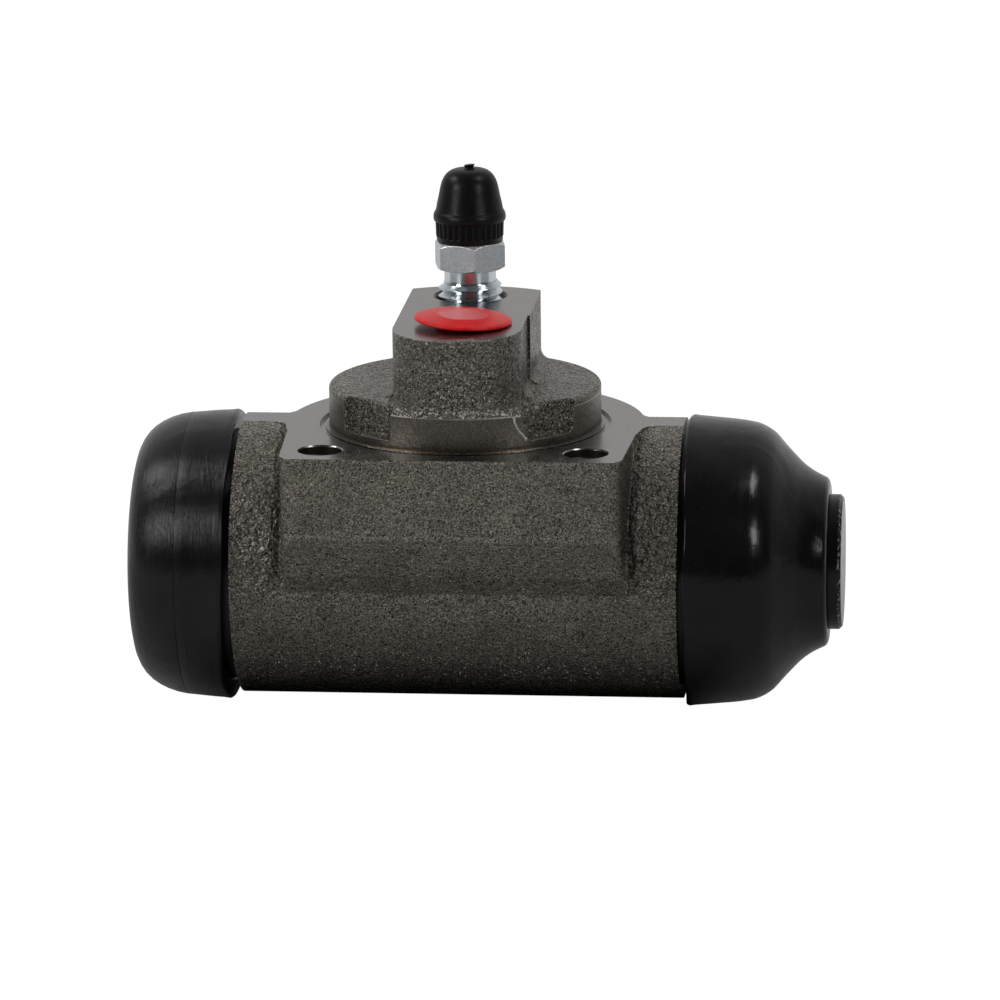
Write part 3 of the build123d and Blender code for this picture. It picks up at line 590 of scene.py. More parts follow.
def moulded_rubber(name, colours, across, streak, depth, matt=0.0, gloss=0.5):
    """Moulded black rubber: satin, with hair-fine streaks round the piece, a few scuffs and a dusty bloom.
    depth is that of the streaks in mm: deep ones spread a highlight along the piece. matt adds to its
    roughness, and gloss is how much it mirrors."""
    material, tree, shader, point = new_material(name)
    lines = add(tree, "ShaderNodeMapping", {0: point, "Scale": across})
    streaks = add(tree, "ShaderNodeTexNoise", {"Vector": lines, "Scale": 1 / streak, "Detail": 4.0,
                                               "Roughness": 0.7})
    bloom = add(tree, "ShaderNodeTexNoise", {"Vector": point, "Scale": 1 / 9.0, "Detail": 4.0,
                                             "Distortion": 0.6})
    dust = add(tree, "ShaderNodeTexVoronoi", {"Vector": point, "Scale": 1 / 1.7}, feature="F1")
    speck = add(tree, "ShaderNodeMapRange", {"Value": dust.outputs["Distance"], "From Min": 0.03,
                                             "From Max": 0.06, "To Min": 1.0, "To Max": 0.0})
    black = linear(colours.rubber)
    tone = add(tree, "ShaderNodeValToRGB", {0: bloom}, stops=[(0.38, black), (0.8, shaded(black, 2.6))])
    tone = painted(tree, tone, (speck, "#3A3938"))
    rough = varied(tree, streaks, 0.18 + matt, 0.28 + matt)
    shader.inputs["IOR"].default_value = 1.45
    shader.inputs["Specular IOR Level"].default_value = gloss
    height = add(tree, "ShaderNodeMath", {0: streaks, 1: depth}, operation="MULTIPLY")
    broad = add(tree, "ShaderNodeMath", {0: bloom, 1: 0.22}, operation="MULTIPLY")
    height = add(tree, "ShaderNodeMath", {0: height, 1: broad}, operation="ADD")
    surface(tree, shader, tone, rough, height=height)
    return material


def turned_zinc(colours):
    """Zinc plate over turned steel: bright, its fine rings drawing each reflection out along the screw."""
    material, tree, shader, point = new_material("zinc_plated_turned_steel")
    shader.inputs["Base Color"].default_value = linear(colours.zinc)
    shader.inputs["Metallic"].default_value = 1.0
    shader.inputs["Anisotropic"].default_value = 0.85
    shader.inputs["Anisotropic Rotation"].default_value = 0.25
    around = add(tree, "ShaderNodeTangent", direction_type="RADIAL", axis="Z")
    tree.links.new(around.outputs[0], shader.inputs["Tangent"])
    stains = add(tree, "ShaderNodeTexNoise", {"Vector": point, "Scale": 1 / 1.2, "Detail": 3.0})
    rough = varied(tree, stains, 0.15, 0.22)
    surface(tree, shader, rough=rough)
    return material


def zinc_plated_steel(colours):
    """Bright zinc plate on steel: frosted on the flats of the hexagon, polished where it was turned, its
    edges painted white as a painted highlight.
    """
    material, tree, shader, point = new_material("zinc_plated_steel")
    z = add(tree, "ShaderNodeSeparateXYZ", {0: point}).outputs[2]
    spangle = add(tree, "ShaderNodeTexNoise", {"Vector": point, "Scale": 1 / 0.35, "Detail": 3.0})
    flats = add(tree, "ShaderNodeMath", {0: z, 1: 23.2, 2: 2.25}, operation="COMPARE")
    base = linear(colours.zinc)
    colour = add(tree, "ShaderNodeValToRGB", {0: spangle}, stops=[(0.36, shaded(base, 0.80)), (0.6, base)])
    soft, edge = rounded(tree, 0.24 * MM, 0.999, 0.965)
    # the edges are painted white: a painted highlight
    colour = painted(tree, colour, (edge, "#FFFFFF"))
    metal = add(tree, "ShaderNodeMapRange", {"Value": flats, "To Min": 0.85, "To Max": 0.62})
    frosted = add(tree, "ShaderNodeMapRange", {"Value": flats, "To Min": 0.20, "To Max": 0.33})
    depth = add(tree, "ShaderNodeMapRange", {"Value": flats, "To Min": 0.003, "To Max": 0.06})
    height = add(tree, "ShaderNodeMath", {0: spangle, 1: depth}, operation="MULTIPLY")
    surface(tree, shader, colour, frosted, metal, height, soft)
    return material


def moulded_polythene(name, code, gloss):
    """Moulded polythene: saturated and satin, with a soft orange peel; gloss is how much it mirrors."""
    material, tree, shader, point = new_material(name)
    peel = add(tree, "ShaderNodeTexNoise", {"Vector": point, "Scale": 1 / 1.1, "Detail": 2.0})
    base = linear(code)
    colour = add(tree, "ShaderNodeValToRGB", {0: peel}, stops=[(0.3, shaded(base, 0.8)), (0.6, base)])
    rough = varied(tree, peel, 0.30, 0.38)
    shader.inputs["IOR"].default_value = 1.51
    shader.inputs["Specular IOR Level"].default_value = gloss
    height = add(tree, "ShaderNodeMath", {0: peel, 1: 0.03}, operation="MULTIPLY")
    surface(tree, shader, colour, rough, height=height)
    return material


def hard_coated_aluminium(colours):
    """Turned aluminium, its sides dark with a hard coat that is chipped at the edges, its end face bare."""
    material, tree, shader, point = new_material("hard_coated_aluminium")
    x = add(tree, "ShaderNodeSeparateXYZ", {0: point}).outputs[0]
    middle = add(tree, "ShaderNodeMath", {0: x, 1: MID_X}, operation="SUBTRACT")
    bare = either(tree, *[add(tree, "ShaderNodeMath", {0: middle, 1: end, 2: 0.05}, operation="COMPARE")
                          for end in (RIGHT_NOSE, -LEFT_NOSE)])
    edge = either(tree, *[add(tree, "ShaderNodeMath", {0: middle, 1: end, 2: 0.62}, operation="COMPARE")
                          for end in (RIGHT_NOSE, -LEFT_NOSE)])
    chips = add(tree, "ShaderNodeTexNoise", {"Vector": point, "Scale": 1 / 0.5, "Detail": 4.0,
                                             "Roughness": 0.7})
    often = add(tree, "ShaderNodeMapRange", {"Value": edge, "To Min": 0.70, "To Max": 0.57})
    chipped = add(tree, "ShaderNodeMath", {0: chips, 1: often}, operation="GREATER_THAN")
    colour = painted(tree, linear(colours.piston), (either(tree, bare, chipped), colours.piston_end))
    # the lathe leaves bands of slightly different tone round the end face, and a centre mark
    radius = off_axis(tree, point, (0, BORE_Y, BORE_Z), (0, 1, 1))
    banded = add(tree, "ShaderNodeCombineXYZ", {0: radius})
    bands = add(tree, "ShaderNodeTexNoise", {"Vector": banded, "Scale": 1 / 0.7, "Detail": 3.0})
    tone = varied(tree, bands, 0.74, 1.12)
    mark = add(tree, "ShaderNodeMapRange", {"Value": radius, "From Min": 0.7, "From Max": 1.1,
                                            "To Min": 0.35, "To Max": 1.0})
    tone = add(tree, "ShaderNodeMath", {0: tone, 1: mark}, operation="MULTIPLY")
    colour = add(tree, "ShaderNodeVectorMath", {0: colour, "Scale": tone}, operation="SCALE")
    shader.inputs["Metallic"].default_value = 1.0
    rough = varied(tree, bands, 0.26, 0.42)
    # feed marks of the lathe, 0.35 mm apart
    feed = add(tree, "ShaderNodeMath", {0: radius, 1: tau / 0.35}, operation="MULTIPLY")
    wave = add(tree, "ShaderNodeMath", {0: feed}, operation="SINE")
    height = add(tree, "ShaderNodeMath", {0: wave, 1: 0.010}, operation="MULTIPLY")
    surface(tree, shader, colour, rough, height=height)
    return material


def drawn_steel(colours):
    """Drawn and pressed steel: bright, with fine marks from the die."""
    material, tree, shader, point = new_material("drawn_steel")
    marks = add(tree, "ShaderNodeTexNoise", {"Vector": point, "Scale": 1 / 0.6, "Detail": 3.0})
    base = linear(colours.spring)
    colour = add(tree, "ShaderNodeValToRGB", {0: marks}, stops=[(0.3, shaded(base, 0.7)), (0.7, base)])
    shader.inputs["Metallic"].default_value = 1.0
    rough = add(tree, "ShaderNodeMapRange", {"Value": marks, "To Min": 0.22, "To Max": 0.42})
    surface(tree, shader, colour, rough)
    return material


def burr_iron_painted_glint():
    """Freshly broken grey iron, crystalline, painted near white as a painted glint of its crystals."""
    material, tree, shader, point = new_material("broken_grey_iron_painted_glint")
    crystals = add(tree, "ShaderNodeTexNoise", {"Vector": point, "Scale": 1 / 0.2, "Detail": 2.0})
    colour = add(tree, "ShaderNodeValToRGB", {0: crystals},
                 stops=[(0.30, linear("#CFC8BE")), (0.5, linear("#FFFCF6"))])
    shader.inputs["Metallic"].default_value = 0.1
    shader.inputs["Roughness"].default_value = 0.26
    height = add(tree, "ShaderNodeMath", {0: crystals, 1: 0.30}, operation="MULTIPLY")
    surface(tree, shader, colour, height=height)
    return material


def studio_floor(colours):
    """Matt paper. The camera sees it pale with the object's soft shadow. As the object sees it, it throws
    little light back up and is painted dark under and round the object, a painted shadow; in reflections it
    glows a little more toward the back, a painted glow.
    """
    material, tree, shader, point = new_material("studio_paper")
    path = add(tree, "ShaderNodeLightPath")
    x, y, _ = add(tree, "ShaderNodeSeparateXYZ", {0: point}).outputs
    along = add(tree, "ShaderNodeMath", {0: x}, operation="ABSOLUTE")
    along = add(tree, "ShaderNodeMapRange", {"Value": along, "From Min": 34.0, "From Max": 46.0})
    across = add(tree, "ShaderNodeMath", {0: y}, operation="ABSOLUTE")
    across = add(tree, "ShaderNodeMapRange", {"Value": across, "From Min": 9.0, "From Max": 32.0})
    # the floor is painted dark under and round the object, a painted shadow that the object sees
    beyond_painted_shadow = either(tree, along, across)
    bounce = painted(tree, linear("#262626"), (beyond_painted_shadow, colours.floor_bounce))
    tone = painted(tree, bounce, (path.outputs["Is Camera Ray"], colours.floor))
    shader.inputs["Roughness"].default_value = 1.0
    shader.inputs["Specular IOR Level"].default_value = 0.0
    surface(tree, shader, tone)
    white = add(tree, "ShaderNodeEmission", {"Color": (1, 1, 1, 1), "Strength": 1.42})
    seen = add(tree, "ShaderNodeMath", {0: path.outputs["Is Camera Ray"], 1: 0.7}, operation="MULTIPLY")
    # in reflections the floor glows more toward the back, except in the painted shadow: a painted glow
    behind = add(tree, "ShaderNodeMapRange", {"Value": y, "From Min": 20.0, "From Max": 90.0,
                                              "To Min": 0.10, "To Max": 0.34})
    reflected_glow = overlap(tree, path.outputs["Is Glossy Ray"], behind, beyond_painted_shadow)
    mix = add(tree, "ShaderNodeMixShader", {0: either(tree, seen, reflected_glow), 1: shader, 2: white})
    out = next(n for n in tree.nodes if n.type == "OUTPUT_MATERIAL")
    tree.links.new(mix.outputs[0], out.inputs["Surface"])
    return material


# pieces


class WHEELCYL_OT_casting(bpy.types.Operator):
    """Finishes the casting and cuts the threads of its holes"""

    bl_idname = "wheelcyl.casting"
    bl_label = "Casting"

    def execute(self, context):
        sizes = context.scene.wheelcyl_sizes
        iron = grey_cast_iron(context.scene.wheelcyl_colours, sizes)
        dress("cylinder_body", iron)
        # threads stand in from the wall of each hole, so a ridge between two cuts is what is made: name,
        # place, radius of the wall, top, depth, pitch
        tapped = (3.25, -0.45, 12.0, sizes.hole_pitch)
        holes = (
            ("left_hole_thread", BOLTS[0], *tapped),
            ("right_hole_thread", BOLTS[1], *tapped),
            ("inlet_thread", PORT, 4.6, BOSS_TOP - 0.9, 7.6, 1.0),
        )
        for name, centre, radius, start, depth, pitch in holes:
            root = radius + 0.04
            crest = radius - 0.30 * pitch
            section = [(0, root), (pitch * 0.42, crest), (pitch * 0.5, crest), (pitch * 0.92, root)]
            ridge = coil(section, (*centre, start), -Z_AXIS, X_AXIS, pitch, depth / pitch - 1, 36)
            piece(ridge, name, iron, "cylinder", sharp=25)
        # the ragged burr is painted near white, a painted glint
        piece(lobe_burr(), "front_lobe_burr", burr_iron_painted_glint(), "cylinder", sharp=50)
        return {"FINISHED"}


def lobe_burr():
    """A bmesh of the ragged edge that the turning tool left along the right end of the front lobe."""
    # azimuth from the front in degrees, height in mm, width in mm
    path = (
        (23.2, 5.17, 0.06), (24.6, 5.20, 0.10), (25.6, 5.18, 0.22), (26.2, 5.02, 0.34), (26.4, 4.70, 0.30),
        (26.5, 4.35, 0.22), (26.9, 4.02, 0.30), (27.1, 3.72, 0.24), (27.6, 3.40, 0.34), (28.3, 3.10, 0.26),
        (28.7, 2.82, 0.36), (29.6, 2.55, 0.40), (30.2, 2.28, 0.34), (30.6, 2.02, 0.44), (31.3, 1.80, 0.52),
        (31.4, 1.55, 0.34), (31.7, 1.36, 0.12),
    )
    bm = bmesh.new()
    rows = []
    for turned_by, height, width in path:
        around = (sin(radians(turned_by)), -cos(radians(turned_by)))
        side = width * 0.55 / PILOT_R
        left = (sin(radians(turned_by) - side), -cos(radians(turned_by) - side))
        right = (sin(radians(turned_by) + side), -cos(radians(turned_by) + side))
        ring = [
            (left, PILOT_R - 0.1), (left, PILOT_R + 0.04), (around, PILOT_R + 0.02 + width * 0.4),
            (right, PILOT_R + 0.04), (right, PILOT_R - 0.3),
        ]
        rows.append([bm.verts.new(Vector((x * r, y * r, height)) * MM) for (x, y), r in ring])
    skin_over(bm, rows)
    bm.faces.new(rows[0])
    bm.faces.new(rows[-1])
    bmesh.ops.recalc_face_normals(bm, faces=bm.faces)
    return bm


def lip_wander(bm, side, size):
    """Lets the free lip of a boot wander a little, as moulded rubber does. side is 1 for the right boot."""
    lip_r, lip_depth = 21.0, 3
    for v in bm.verts:
        along = (v.co.x / MM - MID_X) * side
        y, z = v.co.y / MM - BORE_Y, v.co.z / MM - BORE_Z
        radius = (y * y + z * z) ** 0.5
        if radius < lip_r or along > LIP_AT + lip_depth:
            continue
        angle = Vector((y, z)).angle_signed(Vector((1, 0)), 0.0)
        share = 1 - max(0, along - LIP_AT) / lip_depth
        wave = sin(2 * angle + side) + 0.6 * sin(5 * angle + 1.3) + 0.4 * sin(9 * angle + 2.1 * side)
        v.co.x += side * share * size * wave * MM
        if side < 0:
            # the left lip leans: its upper part is pushed further in
            v.co.x += share * (0.30 + 0.45 * z / 22) * MM
        grow = 1 + share * size * 0.25 * sin(3 * angle + side * 0.7) / radius
        v.co.y = (BORE_Y + y * grow) * MM
        v.co.z = (BORE_Z + z * grow) * MM


class WHEELCYL_OT_boots(bpy.types.Operator):
    """Moulds the two rubber boots"""

    bl_idname = "wheelcyl.boots"
    bl_label = "Boots"

    def execute(self, context):
        sizes = context.scene.wheelcyl_sizes
        colours = context.scene.wheelcyl_colours
        scuffed = moulded_rubber("moulded_rubber_left_boot", colours, (1, 0.03, 0.03), 0.22, 0.075)
        smooth = moulded_rubber("moulded_rubber_right_boot", colours, (1, 0.03, 0.03), 0.30, 0.010,
                                matt=-0.05, gloss=0.42)
        # the lip that grips the groove of the barrel, the same on both boots
        grip = [
            (LIP_AT + 0.45, 22.18, 0.12), (LIP_AT, 21.9, 0.15), (LIP_AT, 19.3, 0.2),
            (LIP_AT + 0.3, 19.02, 0.1), (36.58, 19.02, 0), (36.58, 20.33, 0.1), (38.55, 20.33, 0.2),
        ]
        centre = (MID_X, BORE_Y, BORE_Z)

        # right: pushed out into a cone by its piston, with a bead where it grips the nose
        near = LIP_AT - 0.85
        right = [
            (near + 1.35, 22.05, 0.3), (near + 0.45, 22.18, 0.12), (near, 21.9, 0.15), *grip[2:],
            (44.85, 19.05, 2.0), (51.25, 12.60, 1.5), (53.17, 11.0, 0.4), (53.17, 8.97, 0.2),
            (55.53, 8.97, 0.2), (55.55, 12.55, 0.9), (54.45, 13.10, 0.5), (52.2, 14.15, 1.8),
            (49.1, 17.40, 0.8), (46.2, 20.75, 2.2), (42.0, 21.48, 1.0),
        ]
        bm = turned(right, centre, X_AXIS, Z_AXIS, sizes.turn_steps)
        lip_wander(bm, 1, sizes.lip_wave)
        boot = piece(bm, "right_boot_rubber", smooth, None)
        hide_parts("right_boot")
        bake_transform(boot)

        # left: folded in around the nose of its piston
        left = [
            (LIP_AT + 1.35, 22.05, 0.3), *grip,
            (39.5, 19.75, 0.5), (40.8, 19.62, 0), (42.9, 19.35, 0), (44.9, 18.68, 0), (46.4, 17.62, 0),
            (47.45, 16.2, 0), (47.8, 14.9, 0), (47.82, 12.62, 0.4), (42.67, 12.62, 0.3), (42.67, 8.97, 0.2),
            (45.03, 8.97, 0.2), (45.03, 10.82, 0.2), (49.77, 10.82, 0.5), (49.77, 15.2, 0), (49.68, 16.05, 0),
            (49.43, 17.0, 0), (48.98, 17.92, 0), (48.32, 18.82, 0), (47.45, 19.62, 0), (46.4, 20.3, 0),
            (45.15, 20.88, 0), (43.8, 21.32, 0), (42.4, 21.58, 0), (41.95, 21.63, 0), (41.9, 21.58, 0),
            (41.82, 21.63, 0), (40.6, 21.74, 0), (38.0, 21.97, 0),
        ]
        bm = turned(left, centre, -X_AXIS, Z_AXIS, sizes.turn_steps)
        lip_wander(bm, -1, sizes.lip_wave)
        boot = piece(bm, "left_boot_rubber", scuffed, None)
        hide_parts("left_boot")
        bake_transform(boot)
        return {"FINISHED"}


class WHEELCYL_OT_pistons(bpy.types.Operator):
    """Finishes the pistons, the seals, the expanders and the spring"""

    bl_idname = "wheelcyl.pistons"
    bl_label = "Pistons and seals"

    def execute(self, context):
        sizes = context.scene.wheelcyl_sizes
        colours = context.scene.wheelcyl_colours
        coated = hard_coated_aluminium(colours)
        steel = drawn_steel(colours)
        rubber = moulded_rubber("moulded_rubber_seal", colours, (1, 1, 1), 0.6, 0.012)
        for side in ("left", "right"):
            dress(side + "_piston", coated)
            dress(side + "_cup_expander", steel)
        centre = (MID_X, BORE_Y, BORE_Z)
        for side, axis, nose in (("left", -X_AXIS, LEFT_NOSE), ("right", X_AXIS, RIGHT_NOSE)):
            back = nose - PISTON_LENGTH
            section = [
                (back, 0, 0), (back, 14.0, 0.5), (back - 6.9, 14.24, 0.2), (back - 7.5, 13.66, 0.2),
                (back - 7.5, 12.3, 0.3), (back - 3.0, 11.4, 0.6), (back - 3.0, 0, 0),
            ]
            bm = turned(section, centre, axis, Z_AXIS, sizes.turn_steps, closed=False)
            seal = piece(bm, side + "_cup_rubber", rubber, side + "_piston_set")
            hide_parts(side + "_cup_seal")
        # the spring is wound in two halves, each from the middle out toward its own piston
        wire_r, coil_r, gap = 0.7, 5.6, 0.02
        right_end = RIGHT_NOSE - PISTON_LENGTH - EXPANDER_HEIGHT - wire_r - gap
        left_end = LEFT_NOSE - PISTON_LENGTH - EXPANDER_HEIGHT - wire_r - gap
        middle = (right_end - left_end) / 2
        reach = (right_end + left_end) / 2
        ring = [(wire_r * cos(i * tau / 12), coil_r + wire_r * sin(i * tau / 12)) for i in range(12)]
        for side, way in (("right", 1), ("left", -1)):
            start = (MID_X + middle, BORE_Y, BORE_Z)
            bm = coil(ring, start, X_AXIS * way, Z_AXIS, reach / 3, 3, 40)
            half = piece(bm, side + "_spring_half", steel, None)
            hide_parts("return_spring")
            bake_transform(half)
        return {"FINISHED"}


def hexagon(bm):
    """Adds the hexagon of the bleeder screw, its corners cut back by a cone above and below."""
    # half the width across its flats, how far it is turned from the front, and the fall of the cones
    flat, turned_by, slope = 5.0, radians(13.2 - 90), 0.62
    steps = 144
    rows = [[] for _ in range(6)]
    for i in range(steps):
        angle = i * tau / steps
        out = flat / cos(angle % (tau / 6) - tau / 12)
        fall = slope * (out - flat)
        corners = (
            (3.9, HEX_LOW), (flat, HEX_LOW), (out, HEX_LOW + fall), (out, HEX_HIGH - fall), (flat, HEX_HIGH),
            (2.0, HEX_HIGH),
        )
        for row, (r, z) in zip(rows, corners):
            row.append(bm.verts.new(Vector((
                BLEED_X + r * cos(angle + turned_by), BLEED_Y + r * sin(angle + turned_by), z)) * MM))
    skin_over(bm, rows)
    welded = [v for row in rows[1:5] for v in row]
    bmesh.ops.remove_doubles(bm, verts=welded, dist=0.004 * MM)


class WHEELCYL_OT_bleeder(bpy.types.Operator):
    """Turns and threads the bleeder screw, and moulds its cap"""

    bl_idname = "wheelcyl.bleeder"
    bl_label = "Bleeder and cap"

    def execute(self, context):
        sizes = context.scene.wheelcyl_sizes
        colours = context.scene.wheelcyl_colours
        zinc = zinc_plated_steel(colours)
        centre = (BLEED_X, BLEED_Y, 0)
        core, crest, neck = 4.15, 4.9, 3.95
        shank = [
            (2.75, 0, 0), (2.75, 1.5, 0.1), (4.85, 3.6, 0.1), (6.4, 3.6, 0.1), (7.0, core, 0),
            (18.75, core, 0.2), (19.35, neck, 0.3), (HEX_LOW + 0.1, neck, 0), (HEX_LOW + 0.1, 0, 0),
        ]
        bm = turned(shank, centre, Z_AXIS, X_AXIS, 72, closed=False)
        pitch = sizes.screw_pitch
        section = [
            (0, core - 0.05), (pitch * 0.05, core), (pitch * 0.42, crest - 0.07), (pitch * 0.46, crest),
            (pitch * 0.54, crest), (pitch * 0.58, crest - 0.07), (pitch * 0.95, core), (pitch, core - 0.05),
        ]
        # the last crest crosses the front of the screw at the height top, and is chamfered above it
        turns, top = 9.25, 18.4
        ridge = coil(section, (BLEED_X, BLEED_Y, top - pitch * turns), Z_AXIS, X_AXIS, pitch, turns, 48)
        for v in ridge.verts:
            out = Vector((v.co.x - BLEED_X * MM, v.co.y - BLEED_Y * MM))
            limit = (crest - max(0, v.co.z / MM - top - 0.1) * 1.05) * MM
            if out.length > limit:
                out = out * (limit / out.length)
                v.co.x, v.co.y = out.x + BLEED_X * MM, out.y + BLEED_Y * MM
        take_in(bm, ridge)
        hexagon(bm)
        # the hose nipple keeps the CAD shape
        head = bmesh.new()
        head.from_mesh(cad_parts["bleeder_screw"].data)
        bmesh.ops.remove_doubles(head, verts=head.verts, dist=0.002 * MM)
        bmesh.ops.bisect_plane(
            head, geom=head.verts[:] + head.edges[:] + head.faces[:], dist=1e-7,
            plane_co=Vector((0, 0, HEX_HIGH + 0.01)) * MM, plane_no=Z_AXIS, clear_inner=True)
        bmesh.ops.holes_fill(head, edges=[e for e in head.edges if e.is_boundary], sides=0)
        take_in(bm, head)
        # below the hexagon the screw shows the marks of the lathe
        for face in bm.faces:
            face.material_index = int(face.calc_center_median().z < HEX_LOW * MM - 1e-6)
        screw = piece(bm, "bleeder_screw_zinc", zinc, "bleeder", sharp=28)
        screw.data.materials.append(turned_zinc(colours))
        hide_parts("bleeder_screw")

        rubber = moulded_rubber("moulded_rubber_cap", colours, (1, 1, 0.25), 0.5, 0.012, matt=0.12, gloss=0.3)
        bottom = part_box("bleeder_cap")[0][2] / MM
        outer = [
            (0.0, 4.88, 0.12), (0.0, 5.05, 0.12), (0.72, 5.07, 0.1), (0.80, 5.16, 0), (1.6, 5.18, 0),
            (2.4, 5.2, 0), (3.05, 5.24, 0), (3.15, 5.46, 0.1), (3.7, 5.58, 0.35), (4.35, 5.42, 0.2),
            (4.75, 5.14, 0.2), (5.8, 4.95, 0), (6.8, 4.72, 0), (7.7, 4.54, 0), (8.6, 4.36, 0.4),
            (9.5, 4.05, 0.45), (10.38, 3.45, 0.5), (10.95, 2.5, 0.5), (11.14, 0.66, 0.1), (11.42, 0.72, 0.1),
            (11.62, 0.86, 0.08), (11.7, 0.6, 0.06), (11.7, 0, 0),
        ]
        hollow = [(8.5, 0, 0), (8.5, 3.0, 0.2), (7.7, 3.82, 0.2), (0.0, 3.82, 0.1)]
        profile = [(bottom + a, r, s) for a, r, s in (*reversed(outer), *reversed(hollow))]
        rib_low, rib_high, nub = 0.78, 3.1, 11.1
        steps = sizes.cap_ribs * 8
        bm = turned(profile, centre, Z_AXIS, X_AXIS, steps, closed=False)
        for v in bm.verts:
            out = Vector((v.co.x / MM - BLEED_X, v.co.y / MM - BLEED_Y))
            height = v.co.z / MM - bottom
            if rib_low < height < rib_high and out.length > 4.6:
                turn = (out.angle_signed(Vector((1, 0)), 0.0) / tau * sizes.cap_ribs) % 1
                groove = 1 if 0.24 < turn < 0.76 else 0
                out = out * (1 - groove * sizes.cap_rib_depth / out.length)
                v.co.x, v.co.y = (out.x + BLEED_X) * MM, (out.y + BLEED_Y) * MM
            elif height > nub:
                # the nub that the mould left on top leans a little
                v.co.x += 0.12 * (height - nub) * MM
                v.co.z += 0.10 * (out.x - out.y * 0.6) * MM
        cap = piece(bm, "bleeder_cap_rubber", rubber, "cap", sharp=30)
        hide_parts("bleeder_cap")
        return {"FINISHED"}


class WHEELCYL_OT_plug(bpy.types.Operator):
    """Moulds the push-in plug of the inlet"""

    bl_idname = "wheelcyl.plug"
    bl_label = "Inlet plug"

    def execute(self, context):
        colours = context.scene.wheelcyl_colours
        red = moulded_polythene("moulded_polythene", colours.plug, 0.25)
        painted_sheen = moulded_polythene("moulded_polythene_painted_sheen", colours.plug_centre_sheen, 0.7)
        rim = 7.35
        disc = [
            (0.8, 0, 0), (0.8, 3.1, 0.2), (-6.5, 3.1, 0.15), (-6.5, 3.75, 0.3), (-5.6, 4.1, 0.3),
            (0.0, 4.1, 0.12), (0.0, 7.1, 0.12), (0.12, rim, 0.1), (0.42, rim, 0.14), (0.68, 6.9, 0.3),
            (1.08, 3.9, 0.3), (1.02, 3.5, 0.2), (1.02, 0, 0),
        ]
        bm = turned(disc, (0, 0, 0), Z_AXIS, X_AXIS, 128, closed=False)
        tilt = radians(3.2)
        seat = BOSS_TOP + 0.05 + rim * sin(tilt)
        # the middle of its top is painted lighter, a painted reflection, and is glossier
        for face in bm.faces:
            middle = face.calc_center_median() / MM
            face.material_index = int(middle.z > 0.9 and middle.xy.length < 3.85)
        place = Matrix.Translation(Vector((PORT[0] + 0.25, PORT[1], seat)) * MM)
        bmesh.ops.transform(bm, matrix=place @ Matrix.Rotation(tilt, 4, "Y"), verts=bm.verts)
        plug = piece(bm, "inlet_plug_red", red, "plug", sharp=40)
        plug.data.materials.append(painted_sheen)
        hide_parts("inlet_plug")
        return {"FINISHED"}


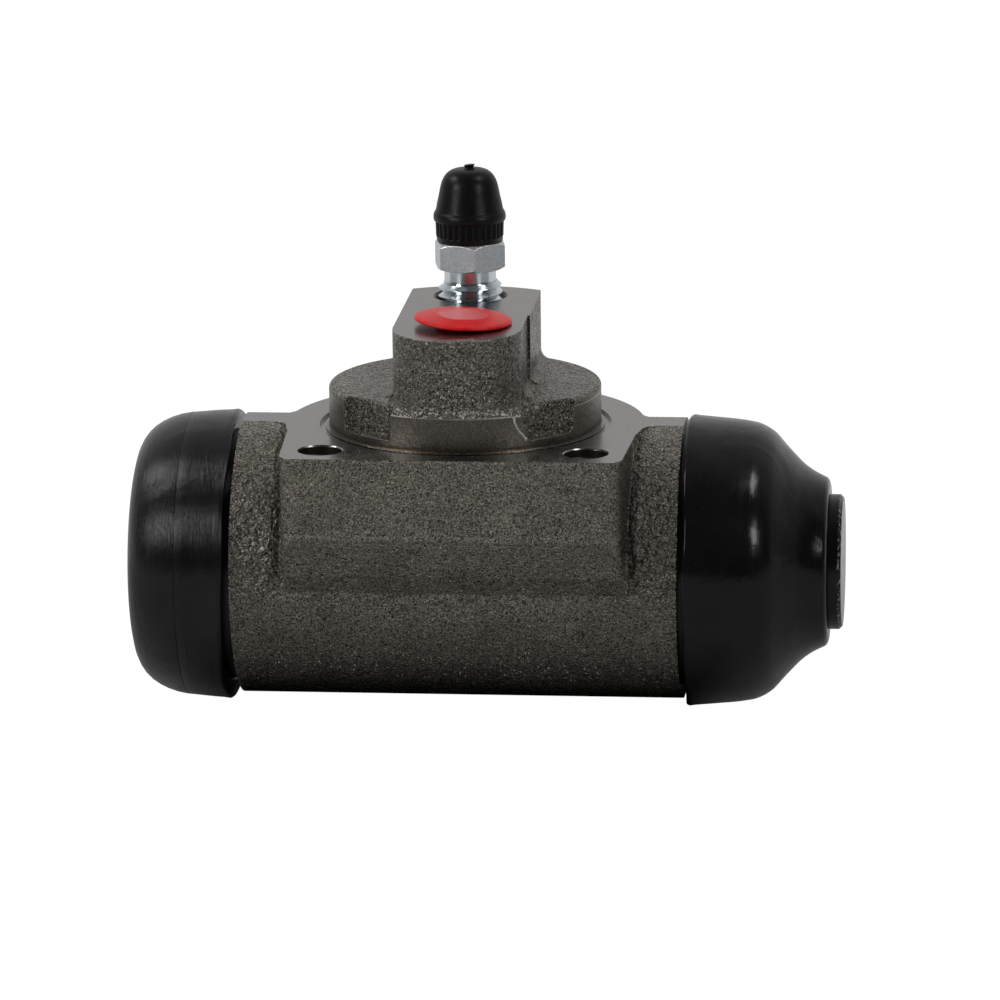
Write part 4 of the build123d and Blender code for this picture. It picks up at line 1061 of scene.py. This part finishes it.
class WHEELCYL_OT_stage(bpy.types.Operator):
    """Sets the floor, the lamps, the world and the camera"""

    bl_idname = "wheelcyl.stage"
    bl_label = "Stage"

    def execute(self, context):
        scene = context.scene
        scene.view_settings.view_transform = "Standard"
        colours = scene.wheelcyl_colours

        # camera: found from the hexagon, the pilot, the flange and the boots in the picture; metres
        azimuth, elevation, roll = radians(5.546), radians(13.981), radians(-0.6)
        distance, lens, sensor = 0.9394, 223.2, 36
        # the width of the square picture, and the origin's place in it, in pixels
        picture, origin_x, origin_y = 1000, 465.597, 421.852
        focal = lens / sensor * picture
        shift_x = (origin_x - picture / 2) / focal * distance
        shift_y = -(origin_y - picture / 2) / focal * distance
        back = Vector((sin(azimuth) * cos(elevation), -cos(azimuth) * cos(elevation), sin(elevation)))
        flat = Vector((cos(azimuth), sin(azimuth), 0))
        upright = back.cross(flat)
        right = cos(roll) * flat + sin(roll) * upright
        up = cos(roll) * upright - sin(roll) * flat
        data = bpy.data.cameras.new("camera")
        data.lens = lens
        data.sensor_width = sensor
        data.sensor_fit = "HORIZONTAL"
        data.clip_start = 0.01
        camera = bpy.data.objects.new("camera", data)
        turn = Matrix((right, up, back)).transposed().to_4x4()
        camera.matrix_world = Matrix.Translation(back * distance - right * shift_x - up * shift_y) @ turn
        scene.collection.objects.link(camera)
        scene.camera = camera

        bm = bmesh.new()
        bmesh.ops.create_grid(bm, x_segments=1, y_segments=1, size=3.0)
        bmesh.ops.translate(bm, verts=bm.verts, vec=Vector((0, 0, FLOOR_Z - 0.05)) * MM)
        mesh = bpy.data.meshes.new("floor")
        bm.to_mesh(mesh)
        bm.free()
        mesh.materials.append(studio_floor(colours))
        floor = bpy.data.objects.new("floor", mesh)
        scene.collection.objects.link(floor)

        # two soft boxes to each side, one low and one high: azimuth from the front and elevation in
        # degrees, distance, width and height in metres, radiance
        lamps = (
            ("left_low", -50, 24, 0.42, 0.12, 0.14, 7.0),
            ("left_high", -92, 46, 0.62, 0.22, 0.15, 7.0),
            ("right_low", 49, 25, 0.46, 0.11, 0.13, 6.0),
            ("right_high", 82, 60, 0.62, 0.20, 0.14, 6.0),
        )
        for name, turned_by, raised, far, width, height, radiance in lamps:
            light = bpy.data.lights.new(name, "AREA")
            light.shape = "RECTANGLE"
            light.size = width
            light.size_y = height
            light.energy = radiance * pi * width * height
            lamp = bpy.data.objects.new(name, light)
            around, up = radians(turned_by), radians(raised)
            place = Vector((sin(around) * cos(up), -cos(around) * cos(up), sin(up))) * far
            lamp.location = place
            lamp.rotation_euler = place.to_track_quat("Z", "Y").to_euler()
            scene.collection.objects.link(lamp)

        world = bpy.data.worlds.new("studio")
        world.use_nodes = True
        tree = world.node_tree
        ground = tree.nodes["Background"]
        coords = add(tree, "ShaderNodeTexCoord")
        y = add(tree, "ShaderNodeSeparateXYZ", {0: coords.outputs["Generated"]}).outputs[1]
        behind = add(tree, "ShaderNodeMapRange", {"Value": y, "From Min": -0.2, "From Max": 0.9,
                                                  "To Min": 0.04, "To Max": 0.55})
        tree.links.new(behind.outputs[0], ground.inputs["Strength"])
        ground.inputs["Color"].default_value = (1, 1, 1, 1)
        path = add(tree, "ShaderNodeLightPath")
        white = add(tree, "ShaderNodeBackground", {"Color": (1, 1, 1, 1), "Strength": 1.0})
        mix = add(tree, "ShaderNodeMixShader", {0: path.outputs["Is Camera Ray"], 1: ground, 2: white})
        out = next(n for n in tree.nodes if n.type == "OUTPUT_WORLD")
        tree.links.new(mix.outputs[0], out.inputs["Surface"])
        scene.world = world
        return {"FINISHED"}


class WHEELCYL_PT_panel(bpy.types.Panel):
    """Lists the pieces of the wheel cylinder"""

    bl_label = "Wheel Cylinder"
    bl_idname = "WHEELCYL_PT_panel"
    bl_space_type = "VIEW_3D"
    bl_region_type = "UI"
    bl_category = "Wheel Cylinder"

    def draw(self, context):
        for group in (context.scene.wheelcyl_sizes, context.scene.wheelcyl_colours):
            for key in group.__annotations__:
                self.layout.prop(group, key)
        for operator in OPERATORS:
            self.layout.operator(operator.bl_idname)


OPERATORS = (
    WHEELCYL_OT_stage,
    WHEELCYL_OT_casting,
    WHEELCYL_OT_boots,
    WHEELCYL_OT_pistons,
    WHEELCYL_OT_bleeder,
    WHEELCYL_OT_plug,
)
CLASSES = (WheelCylinderSizes, WheelCylinderColours, *OPERATORS, WHEELCYL_PT_panel)


def register():
    for cls in CLASSES:
        bpy.utils.register_class(cls)
    bpy.types.Scene.wheelcyl_sizes = bpy.props.PointerProperty(type=WheelCylinderSizes)
    bpy.types.Scene.wheelcyl_colours = bpy.props.PointerProperty(type=WheelCylinderColours)


def unregister():
    del bpy.types.Scene.wheelcyl_colours
    del bpy.types.Scene.wheelcyl_sizes
    for cls in reversed(CLASSES):
        bpy.utils.unregister_class(cls)


def main():
    register()
    bpy.ops.wheelcyl.stage()
    bpy.ops.wheelcyl.casting()
    bpy.ops.wheelcyl.boots()
    bpy.ops.wheelcyl.pistons()
    bpy.ops.wheelcyl.bleeder()
    bpy.ops.wheelcyl.plug()


if __name__ == "__main__":
    main()
